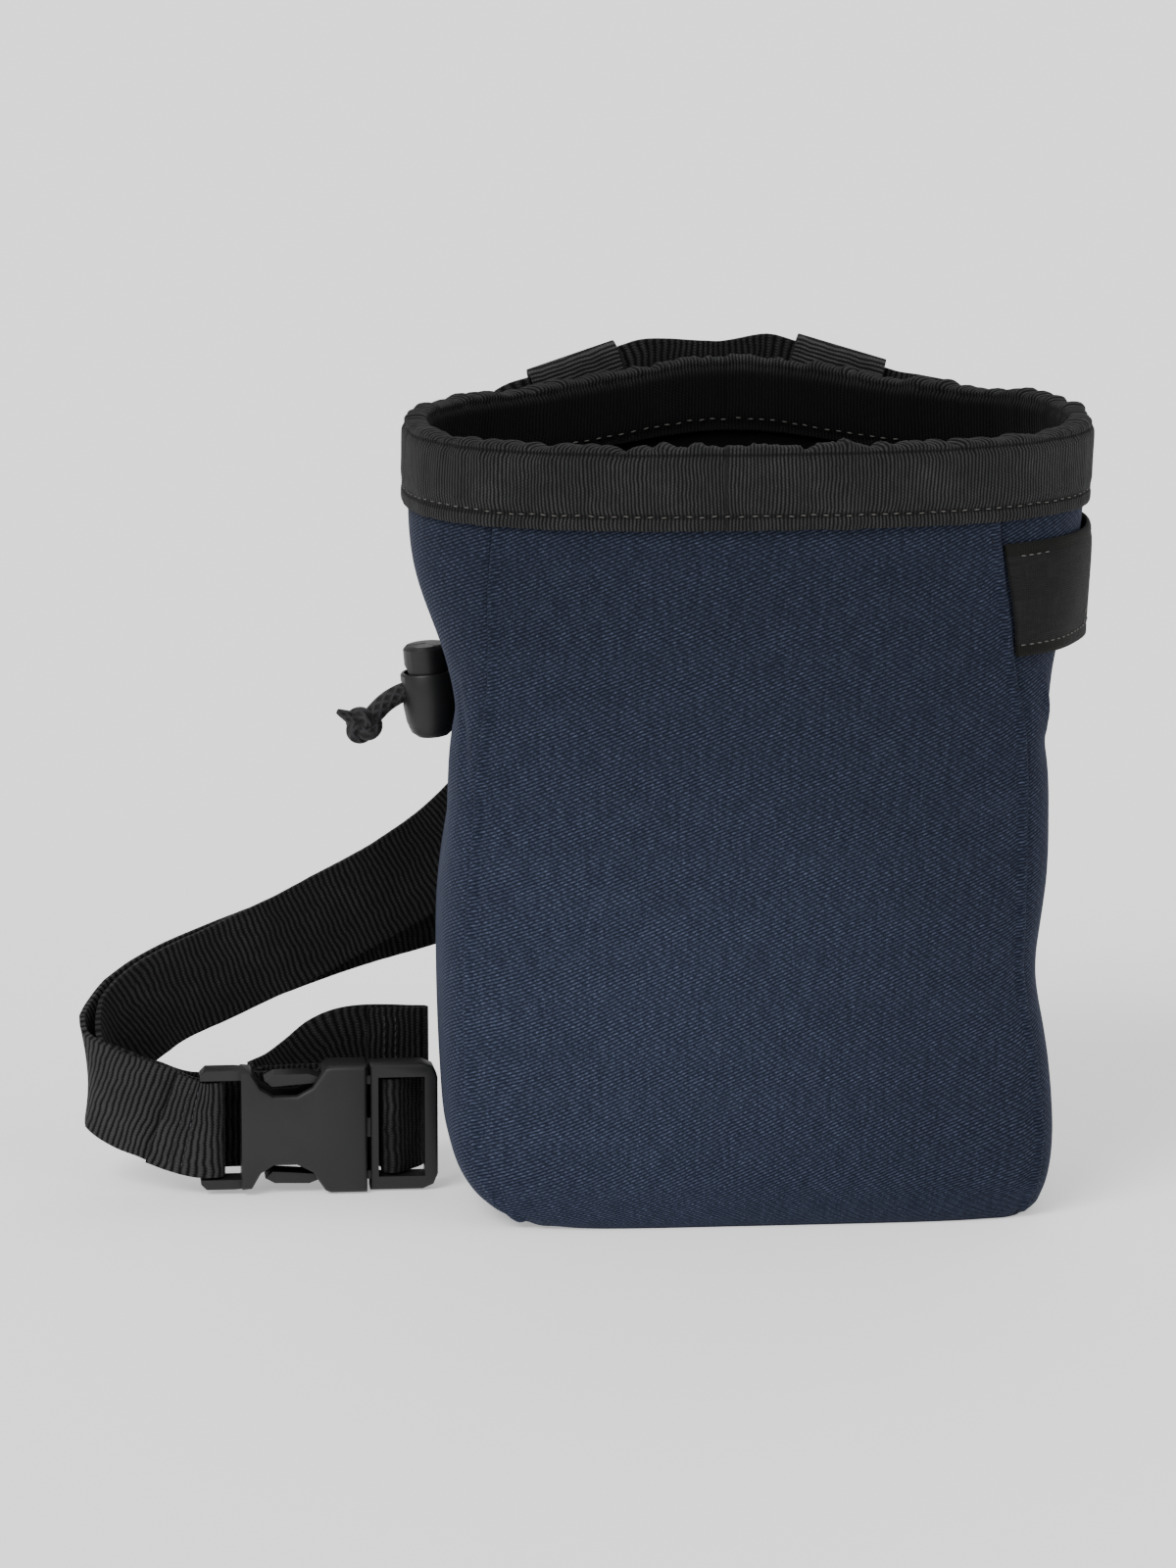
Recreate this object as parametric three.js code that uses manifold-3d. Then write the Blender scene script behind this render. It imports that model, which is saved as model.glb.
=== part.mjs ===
// A climbing chalk bag: a soft open-topped cloth bag with a webbing waist belt, a side-release
// buckle, a cord lock and a brush loop. Millimetres, +Z up, the mouth up, the front towards -Y.
// The origin is the middle of the flat bottom that the bag stands on.
import * as THREE from 'three';
import Module from 'manifold-3d';
import { mergeVertices } from 'three/addons/utils/BufferGeometryUtils.js';

const wasm = await Module();
wasm.setup();

// Driving sizes
const GAP = 0.3; // between pieces that touch on the real bag

const BAG = {
  halfWidth: 85.3, // at the widest, under the rim band
  halfDepth: 50, // at the mouth
  height: 202.5, // of the cloth edge inside the rim band
  wall: 2, // canvas with its fleece
  curveRise: 22, // height of the curve under the bottom edge
  leftCurve: 22, // how far that curve goes in at the left side
  rightCurve: 6.5, // and at the right side, where the corner is squarer
  faceCurve: 5, // and at the front and back
};

const RIM = {
  cloth: 1.8, // thickness of the folded binding
  drop: 21.8, // how far it reaches down outside
  innerDrop: 20, // and inside
  puff: 0.5, // how far its rolled edge stands out
  backRise: 7.5, // how far the back of the mouth is pulled up
};

const BELT = {
  width: 25,
  thick: 1.5,
  foldBack: 13, // sewn end that lies on the strap, beyond the buckle
  hem: 16, // folded hem of the free end
  behindRim: 1, // clearance from the rim band between the loops
};

const BUCKLE = {
  length: 61.6,
  width: 33.7,
  thick: 11.5,
  endThick: 7,
  baseLength: 18, // the part of the male half that shows
  floor: 0.35, // clearance below its long edge
  standOff: 1.7, // clearance from the bag's side
  back: 13.45, // how far its middle plane lies behind the bag's
  barRadius: 1.0,
  femaleBar: 3.4,
};

const LOOP = {
  width: 24,
  cloth: 1.4,
  room: 0.8, // clearance round the belt
  lead: 1, // how far beyond a loop's edges the belt is set along it
  reach: 5, // and how far it still lies straight
};

const BRUSH = {
  cloth: 1.4,
  height: 29,
  underRim: 3, // how far its upper edge lies below the rim band
  clear: 1, // how far its middle stands off the body's own outline
};

const LOCK = {
  radius: 7.1,
  wall: 1,
  height: 17.2,
  buttonRise: 7, // how far the button stands out of the barrel
  buttonLength: 19,
  travel: 4,
  hole: 3.2, // radius of the cross hole
  holeDrop: 5.2, // from the barrel's top edge to the hole's middle
  lean: 5, // degrees, the top towards -X
};

const CORD = { diameter: 5, sides: 10 };

const KNOT = { radius: 4.2, tail: 8.5 };

// The cloth body's sections. z is a share of BAG.height, toLeft and toRight of BAG.halfWidth, depth
// of BAG.halfDepth. square is the superellipse's power. left and right are the front seams' places
// as shares of the section's half width there, and back is that of both back seams.
const SECTIONS = [
  { z: 0.00, toLeft: 0.915, toRight: 0.914, depth: 0.74, square: 6.0, left: 0.93, right: 0.93, back: 0.93 },
  { z: 0.10, toLeft: 0.912, toRight: 0.914, depth: 0.75, square: 5.4, left: 0.94, right: 0.94, back: 0.94 },
  { z: 0.20, toLeft: 0.925, toRight: 0.900, depth: 0.78, square: 4.6, left: 0.94, right: 0.932, back: 0.935 },
  { z: 0.32, toLeft: 0.930, toRight: 0.868, depth: 0.81, square: 4.6, left: 0.94, right: 0.92, back: 0.93 },
  { z: 0.44, toLeft: 0.933, toRight: 0.897, depth: 0.84, square: 4.6, left: 0.926, right: 0.88, back: 0.905 },
  { z: 0.55, toLeft: 0.925, toRight: 0.902, depth: 0.87, square: 4.6, left: 0.92, right: 0.873, back: 0.895 },
  { z: 0.65, toLeft: 0.908, toRight: 0.900, depth: 0.90, square: 4.4, left: 0.91, right: 0.865, back: 0.885 },
  { z: 0.72, toLeft: 0.915, toRight: 0.916, depth: 0.93, square: 3.8, left: 0.875, right: 0.80, back: 0.84 },
  { z: 0.79, toLeft: 0.975, toRight: 0.975, depth: 0.96, square: 3.1, left: 0.825, right: 0.74, back: 0.78 },
  { z: 0.87, toLeft: 1.018, toRight: 1.000, depth: 0.985, square: 2.8, left: 0.785, right: 0.69, back: 0.74 },
  { z: 1.00, toLeft: 1.000, toRight: 1.000, depth: 1.00, square: 2.6, left: 0.775, right: 0.675, back: 0.725 },
];

// Hollows pushed into the cloth. side is -1 for left. y is a share of BAG.halfDepth, z and tall
// of BAG.height, wide of BAG.halfDepth, deep of BAG.halfWidth.
const DENTS = [
  { side: -1, y: 0.30, z: 0.63, wide: 0.31, tall: 0.14, deep: 0.122 },
  { side: 1, y: 0.08, z: 0.62, wide: 0.42, tall: 0.16, deep: 0.085 },
  { side: 1, y: 0.10, z: 0.80, wide: 0.36, tall: 0.10, deep: 0.045 },
  { side: 1, y: -0.35, z: 0.31, wide: 0.50, tall: 0.06, deep: 0.022 },
  { side: -1, y: -0.30, z: 0.51, wide: 0.50, tall: 0.045, deep: 0.012 },
  { side: -1, y: -0.30, z: 0.81, wide: 0.60, tall: 0.055, deep: -0.022 },
];

const SEAM_COLUMNS = { face: 20, side: 14 };
const BEND_WEIGHT = 30; // how much closer the columns lie where the cloth bends
const CURVE_ROWS = 5;
const BODY_ROWS = 14;
const RIM_ROWS = 2;

// Small helpers
const vec = (x, y, z) => new THREE.Vector3(x, y, z);

const lerp = THREE.MathUtils.lerp;

const smooth = (low, high, at) => THREE.MathUtils.smoothstep(at, low, high);

/** One column of a table, followed smoothly through its rows by the z column. */
function column(rows, key, at) {
  let i = 0;
  while (i < rows.length - 2 && rows[i + 1].z < at) i += 1;
  const [a, b] = [rows[i], rows[i + 1]];
  const slope = (j) => {
    const low = rows[Math.max(0, j - 1)];
    const high = rows[Math.min(rows.length - 1, j + 1)];
    return (high[key] - low[key]) / (high.z - low.z);
  };
  const span = b.z - a.z;
  const t = THREE.MathUtils.clamp((at - a.z) / span, 0, 1);
  const [t2, t3] = [t * t, t * t * t];
  return a[key] * (2 * t3 - 3 * t2 + 1) + b[key] * (3 * t2 - 2 * t3)
    + span * (slope(i) * (t3 - 2 * t2 + t) + slope(i + 1) * (t3 - t2));
}

/** Height of the cloth's upper edge over a place on the mouth. */
function edgeHeight(x, y) {
  const middle = Math.exp(-((x / (0.45 * BAG.halfWidth)) ** 2));
  return BAG.height + RIM.backRise * middle * smooth(0, 0.9 * BAG.halfDepth, y);
}

/** Half sizes of the body's section on one side of its middle, and the power of its outline. */
function sectionAt(share, isLeft) {
  const z = share * BAG.height;
  const bend = z < BAG.curveRise ? 1 - Math.sqrt(1 - (1 - z / BAG.curveRise) ** 2) : 0;
  return {
    halfWidth: column(SECTIONS, isLeft ? 'toLeft' : 'toRight', share) * BAG.halfWidth
      - bend * (isLeft ? BAG.leftCurve : BAG.rightCurve),
    halfDepth: column(SECTIONS, 'depth', share) * BAG.halfDepth - bend * BAG.faceCurve,
    square: column(SECTIONS, 'square', share),
  };
}

/** Share of the height at an up value, which spends its first part on the bottom curve. */
function shareAt(up) {
  const curve = CURVE_ROWS / (CURVE_ROWS + BODY_ROWS);
  const rise = BAG.curveRise / BAG.height;
  if (up <= curve) return rise * (1 - Math.cos((up / curve) * Math.PI / 2));
  return lerp(rise, 1, (up - curve) / (1 - curve));
}

/** The up value of a height above the bottom curve. */
function upAt(z) {
  const curve = CURVE_ROWS / (CURVE_ROWS + BODY_ROWS);
  return lerp(curve, 1, (z - BAG.curveRise) / (BAG.height - BAG.curveRise));
}

/** Share of the height where the rim band's lower edge lies; the cloth is plain from there up. */
function rimLine() {
  return (BAG.height - RIM.drop + RIM.cloth) / BAG.height;
}

/** A point of the body's outer face: angle round it from +X, up from 0 at the base to 1. */
function bodyPoint(angle, up, dents = DENTS) {
  const share = shareAt(up);
  const [c, s] = [Math.cos(angle), Math.sin(angle)];
  const { halfWidth, halfDepth, square } = sectionAt(share, c < 0);
  const reach = (Math.abs(c / halfWidth) ** square + Math.abs(s / halfDepth) ** square) ** (-1 / square);
  let x = reach * c;
  const y = reach * s;
  const fade = 1 - smooth(0.96 * rimLine(), rimLine(), share);
  for (const dent of dents) {
    const near = fade * smooth(0.55, 0.9, dent.side * x / halfWidth);
    const across = (y / BAG.halfDepth - dent.y) / dent.wide;
    const along = (share - dent.z) / dent.tall;
    x -= dent.side * near * dent.deep * BAG.halfWidth * Math.exp(-across * across - along * along);
  }
  const rise = BAG.curveRise;
  const z = share * BAG.height;
  const lift = z > rise ? (z - rise) / (BAG.height - rise) : 0;
  return vec(x, y, z + lift * (edgeHeight(x, y) - BAG.height));
}

/** The outward normal of the body's outer face. */
function bodyNormal(angle, up) {
  const [da, du] = [0.004, 0.004];
  const high = Math.min(1, up + du);
  const low = Math.max(0, up - du);
  const round = bodyPoint(angle + da, up).sub(bodyPoint(angle - da, up));
  const rise = bodyPoint(angle, high).sub(bodyPoint(angle, low));
  return round.cross(rise).normalize();
}

/** Angle from the side of a seam whose place is a share of the section's half width there. */
function seamAngle(key, up, isLeft) {
  const share = shareAt(up);
  const { halfWidth, halfDepth, square } = sectionAt(share, isLeft);
  const across = column(SECTIONS, key, share);
  return Math.atan2(halfDepth * (1 - across ** square) ** (1 / square), halfWidth * across);
}

/** The four panels' first and last seam angles at an up value, going round from the right side. */
function seams(up) {
  const right = -seamAngle('right', up, false);
  const backRight = seamAngle('back', up, false);
  const backLeft = Math.PI - seamAngle('back', up, true);
  const left = Math.PI + seamAngle('left', up, true);
  return { side_right: [right, backRight], back: [backRight, backLeft], side_left: [backLeft, left],
    front: [left, 2 * Math.PI + right] };
}

/** Angles from one seam to the next, half a seam gap in from each, closer where the cloth bends. */
function columnAngles(panel, up, count) {
  const [from, to] = seams(up)[panel];
  const steps = 120;
  const angles = Array.from({ length: steps + 1 }, (_, i) => lerp(from, to, i / steps));
  const points = angles.map((angle) => bodyPoint(angle, up));
  const headings = points.slice(1).map((p, i) => Math.atan2(p.y - points[i].y, p.x - points[i].x));
  const [length, run] = [[0], [0]];
  for (let i = 1; i <= steps; i += 1) {
    const far = points[i].distanceTo(points[i - 1]);
    const turn = i > 1 ? headings[i - 1] - headings[i - 2] : 0;
    const bend = Math.abs(Math.atan2(Math.sin(turn), Math.cos(turn)));
    length.push(length[i - 1] + far);
    run.push(run[i - 1] + far + BEND_WEIGHT * bend);
  }
  const find = (list, at, answers) => {
    let i = 1;
    while (i < steps && list[i] < at) i += 1;
    return lerp(answers[i - 1], answers[i], (at - list[i - 1]) / (list[i] - list[i - 1]));
  };
  const first = find(length, GAP / 2, run);
  const last = find(length, length[steps] - GAP / 2, run);
  return Array.from({ length: count }, (_, k) => find(run, lerp(first, last, k / (count - 1)), angles));
}

/** A closed body from rows of points: each ring closes on itself and the ends are capped. */
function ringBody(rings, closed = false) {
  const count = rings[0].length;
  const positions = rings.flat().flatMap((p) => [p.x, p.y, p.z]);
  const index = [];
  const last = closed ? rings.length : rings.length - 1;
  for (let i = 0; i < last; i += 1) {
    const [a, b] = [i * count, ((i + 1) % rings.length) * count];
    for (let j = 0; j < count; j += 1) {
      const k = (j + 1) % count;
      index.push(a + j, b + j, b + k, a + j, b + k, a + k);
    }
  }
  if (!closed) {
    const end = (rings.length - 1) * count;
    for (let j = 1; j < count - 1; j += 1) {
      index.push(0, j, j + 1, end, end + j + 1, end + j);
    }
  }
  return facingOut(positions, index);
}

/** A sheet with a thickness, from a grid of outer points and the grid of inner points below them. */
function sheetBody(outer, inner) {
  const [columns, rows] = [outer.length, outer[0].length];
  const positions = [...outer.flat(), ...inner.flat()].flatMap((p) => [p.x, p.y, p.z]);
  const at = (i, j) => i * rows + j;
  const under = columns * rows;
  const index = [];
  const quad = (a, b, c, d) => index.push(a, b, c, a, c, d);
  for (let i = 0; i < columns - 1; i += 1) {
    for (let j = 0; j < rows - 1; j += 1) {
      quad(at(i, j), at(i + 1, j), at(i + 1, j + 1), at(i, j + 1));
      quad(under + at(i, j), under + at(i, j + 1), under + at(i + 1, j + 1), under + at(i + 1, j));
    }
  }
  const border = [];
  for (let i = 0; i < columns - 1; i += 1) border.push(at(i, 0));
  for (let j = 0; j < rows - 1; j += 1) border.push(at(columns - 1, j));
  for (let i = columns - 1; i > 0; i -= 1) border.push(at(i, rows - 1));
  for (let j = rows - 1; j > 0; j -= 1) border.push(at(0, j));
  border.forEach((a, k) => {
    const b = border[(k + 1) % border.length];
    quad(a, under + a, under + b, b);
  });
  return facingOut(positions, index);
}

/** A geometry whose triangles all face out, whichever way its builder went round. */
function facingOut(positions, index) {
  let volume = 0;
  const corner = (i) => vec(positions[3 * i], positions[3 * i + 1], positions[3 * i + 2]);
  for (let k = 0; k < index.length; k += 3) {
    volume += corner(index[k]).dot(corner(index[k + 1]).cross(corner(index[k + 2])));
  }
  if (volume < 0) {
    for (let k = 0; k < index.length; k += 3) {
      [index[k + 1], index[k + 2]] = [index[k + 2], index[k + 1]];
    }
  }
  const geometry = new THREE.BufferGeometry();
  geometry.setAttribute('position', new THREE.Float32BufferAttribute(positions, 3));
  geometry.setIndex(index);
  geometry.computeVertexNormals();
  return geometry;
}

/** A three.js geometry as a manifold solid. */
function solid(source) {
  const bare = source.clone();
  bare.deleteAttribute('normal');
  bare.deleteAttribute('uv');
  const welded = mergeVertices(bare, 1e-4);
  return new wasm.Manifold(new wasm.Mesh({
    numProp: 3,
    vertProperties: new Float32Array(welded.attributes.position.array),
    triVerts: new Uint32Array(welded.index.array),
  }));
}

/** A manifold solid as a three.js geometry. */
function geometryOf(body) {
  const mesh = body.getMesh();
  return facingOut(Array.from(mesh.vertProperties), Array.from(mesh.triVerts));
}

/** A block between two corners. */
function block(low, high) {
  const size = high.clone().sub(low);
  const middle = high.clone().add(low).multiplyScalar(0.5);
  return solid(new THREE.BoxGeometry(size.x, size.y, size.z).translate(middle.x, middle.y, middle.z));
}

/** An outline in the XZ plane made solid between two Y values, its edges eased by a bevel. */
function plate(shape, nearY, farY, bevel = 0) {
  const geometry = new THREE.ExtrudeGeometry(shape, {
    depth: farY - nearY - 2 * bevel, bevelEnabled: bevel > 0, bevelThickness: bevel, bevelSize: bevel,
    bevelOffset: -bevel, bevelSegments: 2, curveSegments: 8,
  });
  geometry.rotateX(Math.PI / 2);
  geometry.translate(0, farY - bevel, 0);
  return solid(geometry);
}

/** A shape through a list of [x, z] corners. */
function outline(corners) {
  return new THREE.Shape(corners.map(([x, z]) => new THREE.Vector2(x, z)));
}

// The cloth body
/** The up values of a panel's rows: the bottom curve, the body to the rim band, and inside it. */
function panelRows() {
  const [curve, rim] = [upAt(BAG.curveRise), upAt(rimLine() * BAG.height)];
  const between = (from, to, count) => (
    Array.from({ length: count }, (_, j) => lerp(from, to, (j + 1) / count)));
  return [0, ...between(0, curve, CURVE_ROWS), ...between(curve, rim, BODY_ROWS - RIM_ROWS),
    ...between(rim, 1, RIM_ROWS)];
}

/** One cloth panel between two seams. */
function panelGeometry(panel, count) {
  const outer = Array.from({ length: count }, () => []);
  const inner = Array.from({ length: count }, () => []);
  for (const up of panelRows()) {
    columnAngles(panel, up, count).forEach((angle, i) => {
      const point = bodyPoint(angle, up);
      outer[i].push(point);
      inner[i].push(point.clone().addScaledVector(bodyNormal(angle, up), -BAG.wall));
    });
  }
  return sheetBody(outer, inner);
}

/** The flat bottom, which fills the ring that the panels' lower edges leave. */
function baseGeometry() {
  const corners = [];
  for (const panel of ['side_right', 'back', 'side_left', 'front']) {
    const count = panel.startsWith('side') ? SEAM_COLUMNS.side : SEAM_COLUMNS.face;
    for (const angle of columnAngles(panel, 0, count)) {
      const point = bodyPoint(angle, 0);
      const normal = vec(Math.cos(angle), Math.sin(angle), 0);
      corners.push(new THREE.Vector2(point.x, point.y).addScaledVector(normal, -1.5 * GAP));
    }
  }
  return new THREE.ExtrudeGeometry(new THREE.Shape(corners), { depth: BAG.wall, bevelEnabled: false });
}

// The rim band
/** The binding's section. out is from the cloth's outer face, below from the band's top. */
function bandSection() {
  const near = GAP;
  const far = GAP + RIM.cloth;
  const inside = -BAG.wall - GAP;
  const deep = inside - RIM.cloth;
  const cap = RIM.cloth + GAP;
  return [
    { out: near, below: RIM.drop },
    { out: far - 0.3, below: RIM.drop },
    { out: far, below: 0.5 * RIM.drop },
    { out: far + RIM.puff, below: 0.22 * RIM.drop },
    { out: far + 0.6 * RIM.puff, below: 0.45 * cap },
    { out: 0.3 * far, below: 0.02 * cap },
    { out: inside * 1.1, below: 0.02 * cap },
    { out: deep - 0.6 * RIM.puff, below: 0.45 * cap },
    { out: deep - RIM.puff, below: 0.22 * RIM.drop },
    { out: deep, below: RIM.innerDrop },
    { out: inside, below: RIM.innerDrop },
    { out: inside, below: RIM.cloth },
    { out: near, below: RIM.cloth },
  ];
}

/** The binding folded over the mouth's edge, all the way round. */
function rimGeometry() {
  const cap = RIM.cloth + GAP;
  const span = BAG.height - BAG.curveRise;
  const curve = CURVE_ROWS / (CURVE_ROWS + BODY_ROWS);
  const rings = [];
  for (const panel of ['side_right', 'back', 'side_left', 'front']) {
    const count = panel.startsWith('side') ? SEAM_COLUMNS.side : SEAM_COLUMNS.face;
    for (const angle of columnAngles(panel, 1, count)) {
      const top = edgeHeight(bodyPoint(angle, 1).x, bodyPoint(angle, 1).y) + cap;
      rings.push(bandSection().map(({ out, below }) => {
        const up = 1 - (1 - curve) * Math.max(0, below - cap) / span;
        const normal = bodyNormal(angle, up).setZ(0).normalize();
        return bodyPoint(angle, up).addScaledVector(normal, out).setZ(top - below);
      }));
    }
  }
  return ringBody(rings, true);
}

// The buckle, built round its own middle: +X towards the male end, +Z up, the front towards -Y
const HALF = BUCKLE.length / 2;
const MOUTH = HALF - BUCKLE.baseLength; // where the female half ends
const SLOT = BELT.width + 1.4; // opening for the strap
const BODY_START = -HALF + 10.6; // where the female half's full thickness starts

const femaleBarX = -HALF + 1.2 + BUCKLE.femaleBar / 2;
const maleBarX = MOUTH + 6.2;

/** The female half: a flat sleeve with a bar for the sewn strap and two side windows. */
function femaleGeometry() {
  const [w, e] = [BUCKLE.width / 2, BUCKLE.width / 2 - 1];
  const dip = 7.6;
  const corners = [
    [-HALF, -e + 1.5], [-HALF + 1.5, -e], [-HALF + 9, -e], [-HALF + 13.2, -w + 1.4],
    [-HALF + 15.5, -w + dip * 0.72], [-HALF + 19, -w + dip], [-HALF + 25, -w + dip],
    [-HALF + 29, -w + dip * 0.72], [-HALF + 32.2, -w + 0.6], [-HALF + 33.6, -w], [MOUTH - 0.5, -w],
  ];
  const shape = outline([...corners, ...corners.map(([x, z]) => [x, -z]).reverse()]);
  const body = plate(shape, -BUCKLE.thick / 2, BUCKLE.thick / 2, 1.1);
  const neck = block(vec(-HALF - 1, -BUCKLE.thick, -w - 1), vec(BODY_START, -BUCKLE.endThick / 2, w + 1));
  const nape = block(vec(-HALF - 1, BUCKLE.endThick / 2, -w - 1), vec(BODY_START, BUCKLE.thick, w + 1));
  const slot = block(vec(femaleBarX, -BUCKLE.thick, -SLOT / 2), vec(BODY_START, BUCKLE.thick, SLOT / 2));
  const end = block(vec(-HALF - 1, -BUCKLE.thick, -SLOT / 2), vec(femaleBarX, BUCKLE.thick, SLOT / 2));
  const bar = barSolid(femaleBarX, BUCKLE.femaleBar / 2, SLOT / 2 + 1);
  const hollow = block(vec(BODY_START + 3.2, -BUCKLE.thick / 2 + 2.2, -w + 1.9),
    vec(MOUTH + 1, BUCKLE.thick / 2 - 2.2, w - 1.9));
  return geometryOf(body.subtract(neck).subtract(nape).subtract(slot).subtract(end).add(bar)
    .subtract(hollow));
}

/** A round bar along Z. */
function barSolid(x, radius, halfLength) {
  const bar = new THREE.CylinderGeometry(radius, radius, 2 * halfLength, 12);
  return solid(bar.rotateX(Math.PI / 2).translate(x, 0, 0));
}

/** The male half: a base with a window and a bar, a middle guide and two springy prongs. */
function maleGeometry() {
  const w = BUCKLE.width / 2;
  const inside = w - 1.9 - GAP;
  const base = outline([
    [MOUTH + GAP, -w], [HALF - 4, -w], [HALF - 1.2, -w + 1.2], [HALF, -w + 4],
    [HALF, w - 4], [HALF - 1.2, w - 1.2], [HALF - 4, w], [MOUTH + GAP, w],
  ]);
  const frame = plate(base, -BUCKLE.endThick / 2, BUCKLE.endThick / 2, 0.8);
  const window = block(vec(MOUTH + 2.6, -BUCKLE.thick, -SLOT / 2), vec(HALF - 3.4, BUCKLE.thick, SLOT / 2));
  const bar = barSolid(maleBarX, BUCKLE.barRadius, SLOT / 2 + 1);
  const half = BUCKLE.thick / 2 - 2.2 - GAP;
  const tip = BODY_START + 6;
  const prong = [
    [MOUTH + 1, inside - 3.2], [MOUTH - 14, inside - 2.6], [tip + 2, inside - 3.4], [tip, inside - 1.6],
    [tip + 2.6, inside - 0.2], [MOUTH - 15.5, inside], [MOUTH - 12.5, inside - 1.2],
    [MOUTH + 1, inside - 0.8],
  ];
  const upper = plate(outline(prong), -half, half);
  const lower = plate(outline(prong.map(([x, z]) => [x, -z])), -half, half);
  const guide = block(vec(tip + 5, -half, -2.6), vec(MOUTH + 1, half, 2.6));
  return geometryOf(frame.subtract(window).add(bar).add(upper).add(lower).add(guide));
}

/** Where the buckle's middle lies in the bag's frame. */
function buckleMiddle() {
  const height = BUCKLE.floor + BUCKLE.width / 2;
  const side = sectionAt(height / BAG.height, true).halfWidth;
  return vec(-side - BUCKLE.standOff - HALF, BUCKLE.back, height);
}

// The waist belt: its middle line and the way its upper edge points.
// x is a share of BAG.halfWidth, y of BAG.halfDepth, z of BAG.height. Without an edge the upper
// edge points straight up, as far as the strap's direction lets it.
const OUTER_TURN = [
  { x: -1.700, y: 0.306, z: 0.089 },
  { x: -1.776, y: 0.298, z: 0.104 },
  { x: -1.864, y: 0.332, z: 0.116 },
  { x: -1.944, y: 0.416, z: 0.131 },
  { x: -1.976, y: 0.560, z: 0.151 },
  { x: -1.905, y: 0.732, z: 0.184 },
  { x: -1.776, y: 0.828, z: 0.221 },
  { x: -1.584, y: 0.912, z: 0.253 },
  { x: -1.340, y: 1.000, z: 0.286 },
  { x: -1.130, y: 1.110, z: 0.308 },
  { x: -0.893, y: 1.240, z: 0.329 },
];

const BEHIND_TO_RIGHT = [
  { x: -0.710, y: 1.295, z: 0.364 },
  { x: -0.487, y: 1.367, z: 0.437 },
  { x: -0.203, y: 1.448, z: 0.548 },
  { x: 0.081, y: 1.520, z: 0.668 },
  { x: 0.365, y: 1.571, z: 0.789 },
  { x: 0.608, y: 1.561, z: 0.874 },
  { x: 0.700, y: 1.448, z: 0.910 },
  { x: 0.690, y: 1.275, z: 0.935 },
  { x: 0.590, y: 1.150, z: 0.950 },
];

const BEHIND_TO_LEFT = [
  { x: -0.715, y: 1.20, z: 0.905, edge: [-0.1, 0.5, 0.9] },
  { x: -0.755, y: 1.29, z: 0.865, edge: [0.1, 1, 0.2] },
  { x: -0.70, y: 1.34, z: 0.790, edge: [0, 1, 0] },
  { x: -0.60, y: 1.35, z: 0.700, edge: [-0.3, 1, 0] },
  { x: -0.53, y: 1.32, z: 0.615, edge: [-0.85, 0.55, 0.1] },
  { x: -0.56, y: 1.27, z: 0.540, edge: [-1, 0.15, 0.3] },
  { x: -0.68, y: 1.20, z: 0.470, edge: [-0.75, 0, 0.7] },
  { x: -0.84, y: 1.13, z: 0.405, edge: [-0.6, 0, 0.8] },
];

const INNER_TURN = [
  { x: -1.039, y: 1.020, z: 0.356 },
  { x: -1.209, y: 0.950, z: 0.322 },
  { x: -1.342, y: 0.906, z: 0.295 },
  { x: -1.472, y: 0.864, z: 0.273 },
  { x: -1.585, y: 0.826, z: 0.253 },
  { x: -1.752, y: 0.758, z: 0.224 },
  { x: -1.860, y: 0.684, z: 0.189 },
  { x: -1.926, y: 0.564, z: 0.151 },
  { x: -1.899, y: 0.458, z: 0.126 },
  { x: -1.815, y: 0.398, z: 0.108 },
  { x: -1.714, y: 0.400, z: 0.091 },
];

/** A station of the belt from a row of a route table. */
function station(row) {
  return {
    at: vec(row.x * BAG.halfWidth, row.y * BAG.halfDepth, row.z * BAG.height),
    edge: row.edge ? vec(...row.edge) : vec(0, 0, 1),
  };
}

/** A station from a place in the buckle's own frame. */
function buckleStation(x, y, lift = 0) {
  return { at: vec(x, y, lift).add(buckleMiddle()), edge: vec(0, 0, 1) };
}

/** Stations round a buckle bar, from one angle to the other about +Z. */
function barTurn(barX, radius, from, to) {
  const steps = 6;
  return Array.from({ length: steps + 1 }, (_, i) => {
    const angle = THREE.MathUtils.degToRad(lerp(from, to, i / steps));
    return buckleStation(barX + radius * Math.cos(angle), radius * Math.sin(angle));
  });
}

// The belt's places at the rim's back. round is the angle in degrees from straight back on the
// circle that the mouth is a stretch of, low how far its middle lies below the raised edge of the
// mouth as a share of BELT.width, and fall how much it sinks for its way towards the right.
const RIM_PLACES = {
  left: { round: -23.6, low: 0.475, fall: -0.3, clear: LOOP.cloth + LOOP.room },
  middle: { round: 0, low: 0.3, fall: 0, clear: BELT.behindRim },
  right: { round: 17.2, low: 0.435, fall: 0.3, clear: LOOP.cloth + LOOP.room },
};

/** Where the belt lies at one of its places at the rim's back, and how it slopes. */
function loopPlace(place) {
  const { round, low, fall, clear } = RIM_PLACES[place];
  const turn = THREE.MathUtils.degToRad(round);
  const angle = Math.atan2(BAG.halfDepth * Math.cos(turn), BAG.halfWidth * Math.sin(turn));
  const normal = bodyNormal(angle, 1).setZ(0).normalize();
  const out = GAP + RIM.cloth + RIM.puff + GAP + clear + BELT.thick / 2;
  const at = bodyPoint(angle, 1).addScaledVector(normal, out);
  at.setZ(edgeHeight(0, BAG.halfDepth) - low * BELT.width);
  return { at, along: vec(normal.y, -normal.x, -fall).normalize(), edge: vec(0, 0, 1) };
}

// The strap on the buckle's back: x a share of half the buckle's length, y in thicknesses of the
// strap from where it would lie flat.
const BEHIND_BUCKLE = [
  { x: -0.9, y: 0.933 },
  { x: -0.5, y: 1.2 },
  { x: 0.1, y: 1.067 },
];

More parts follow.
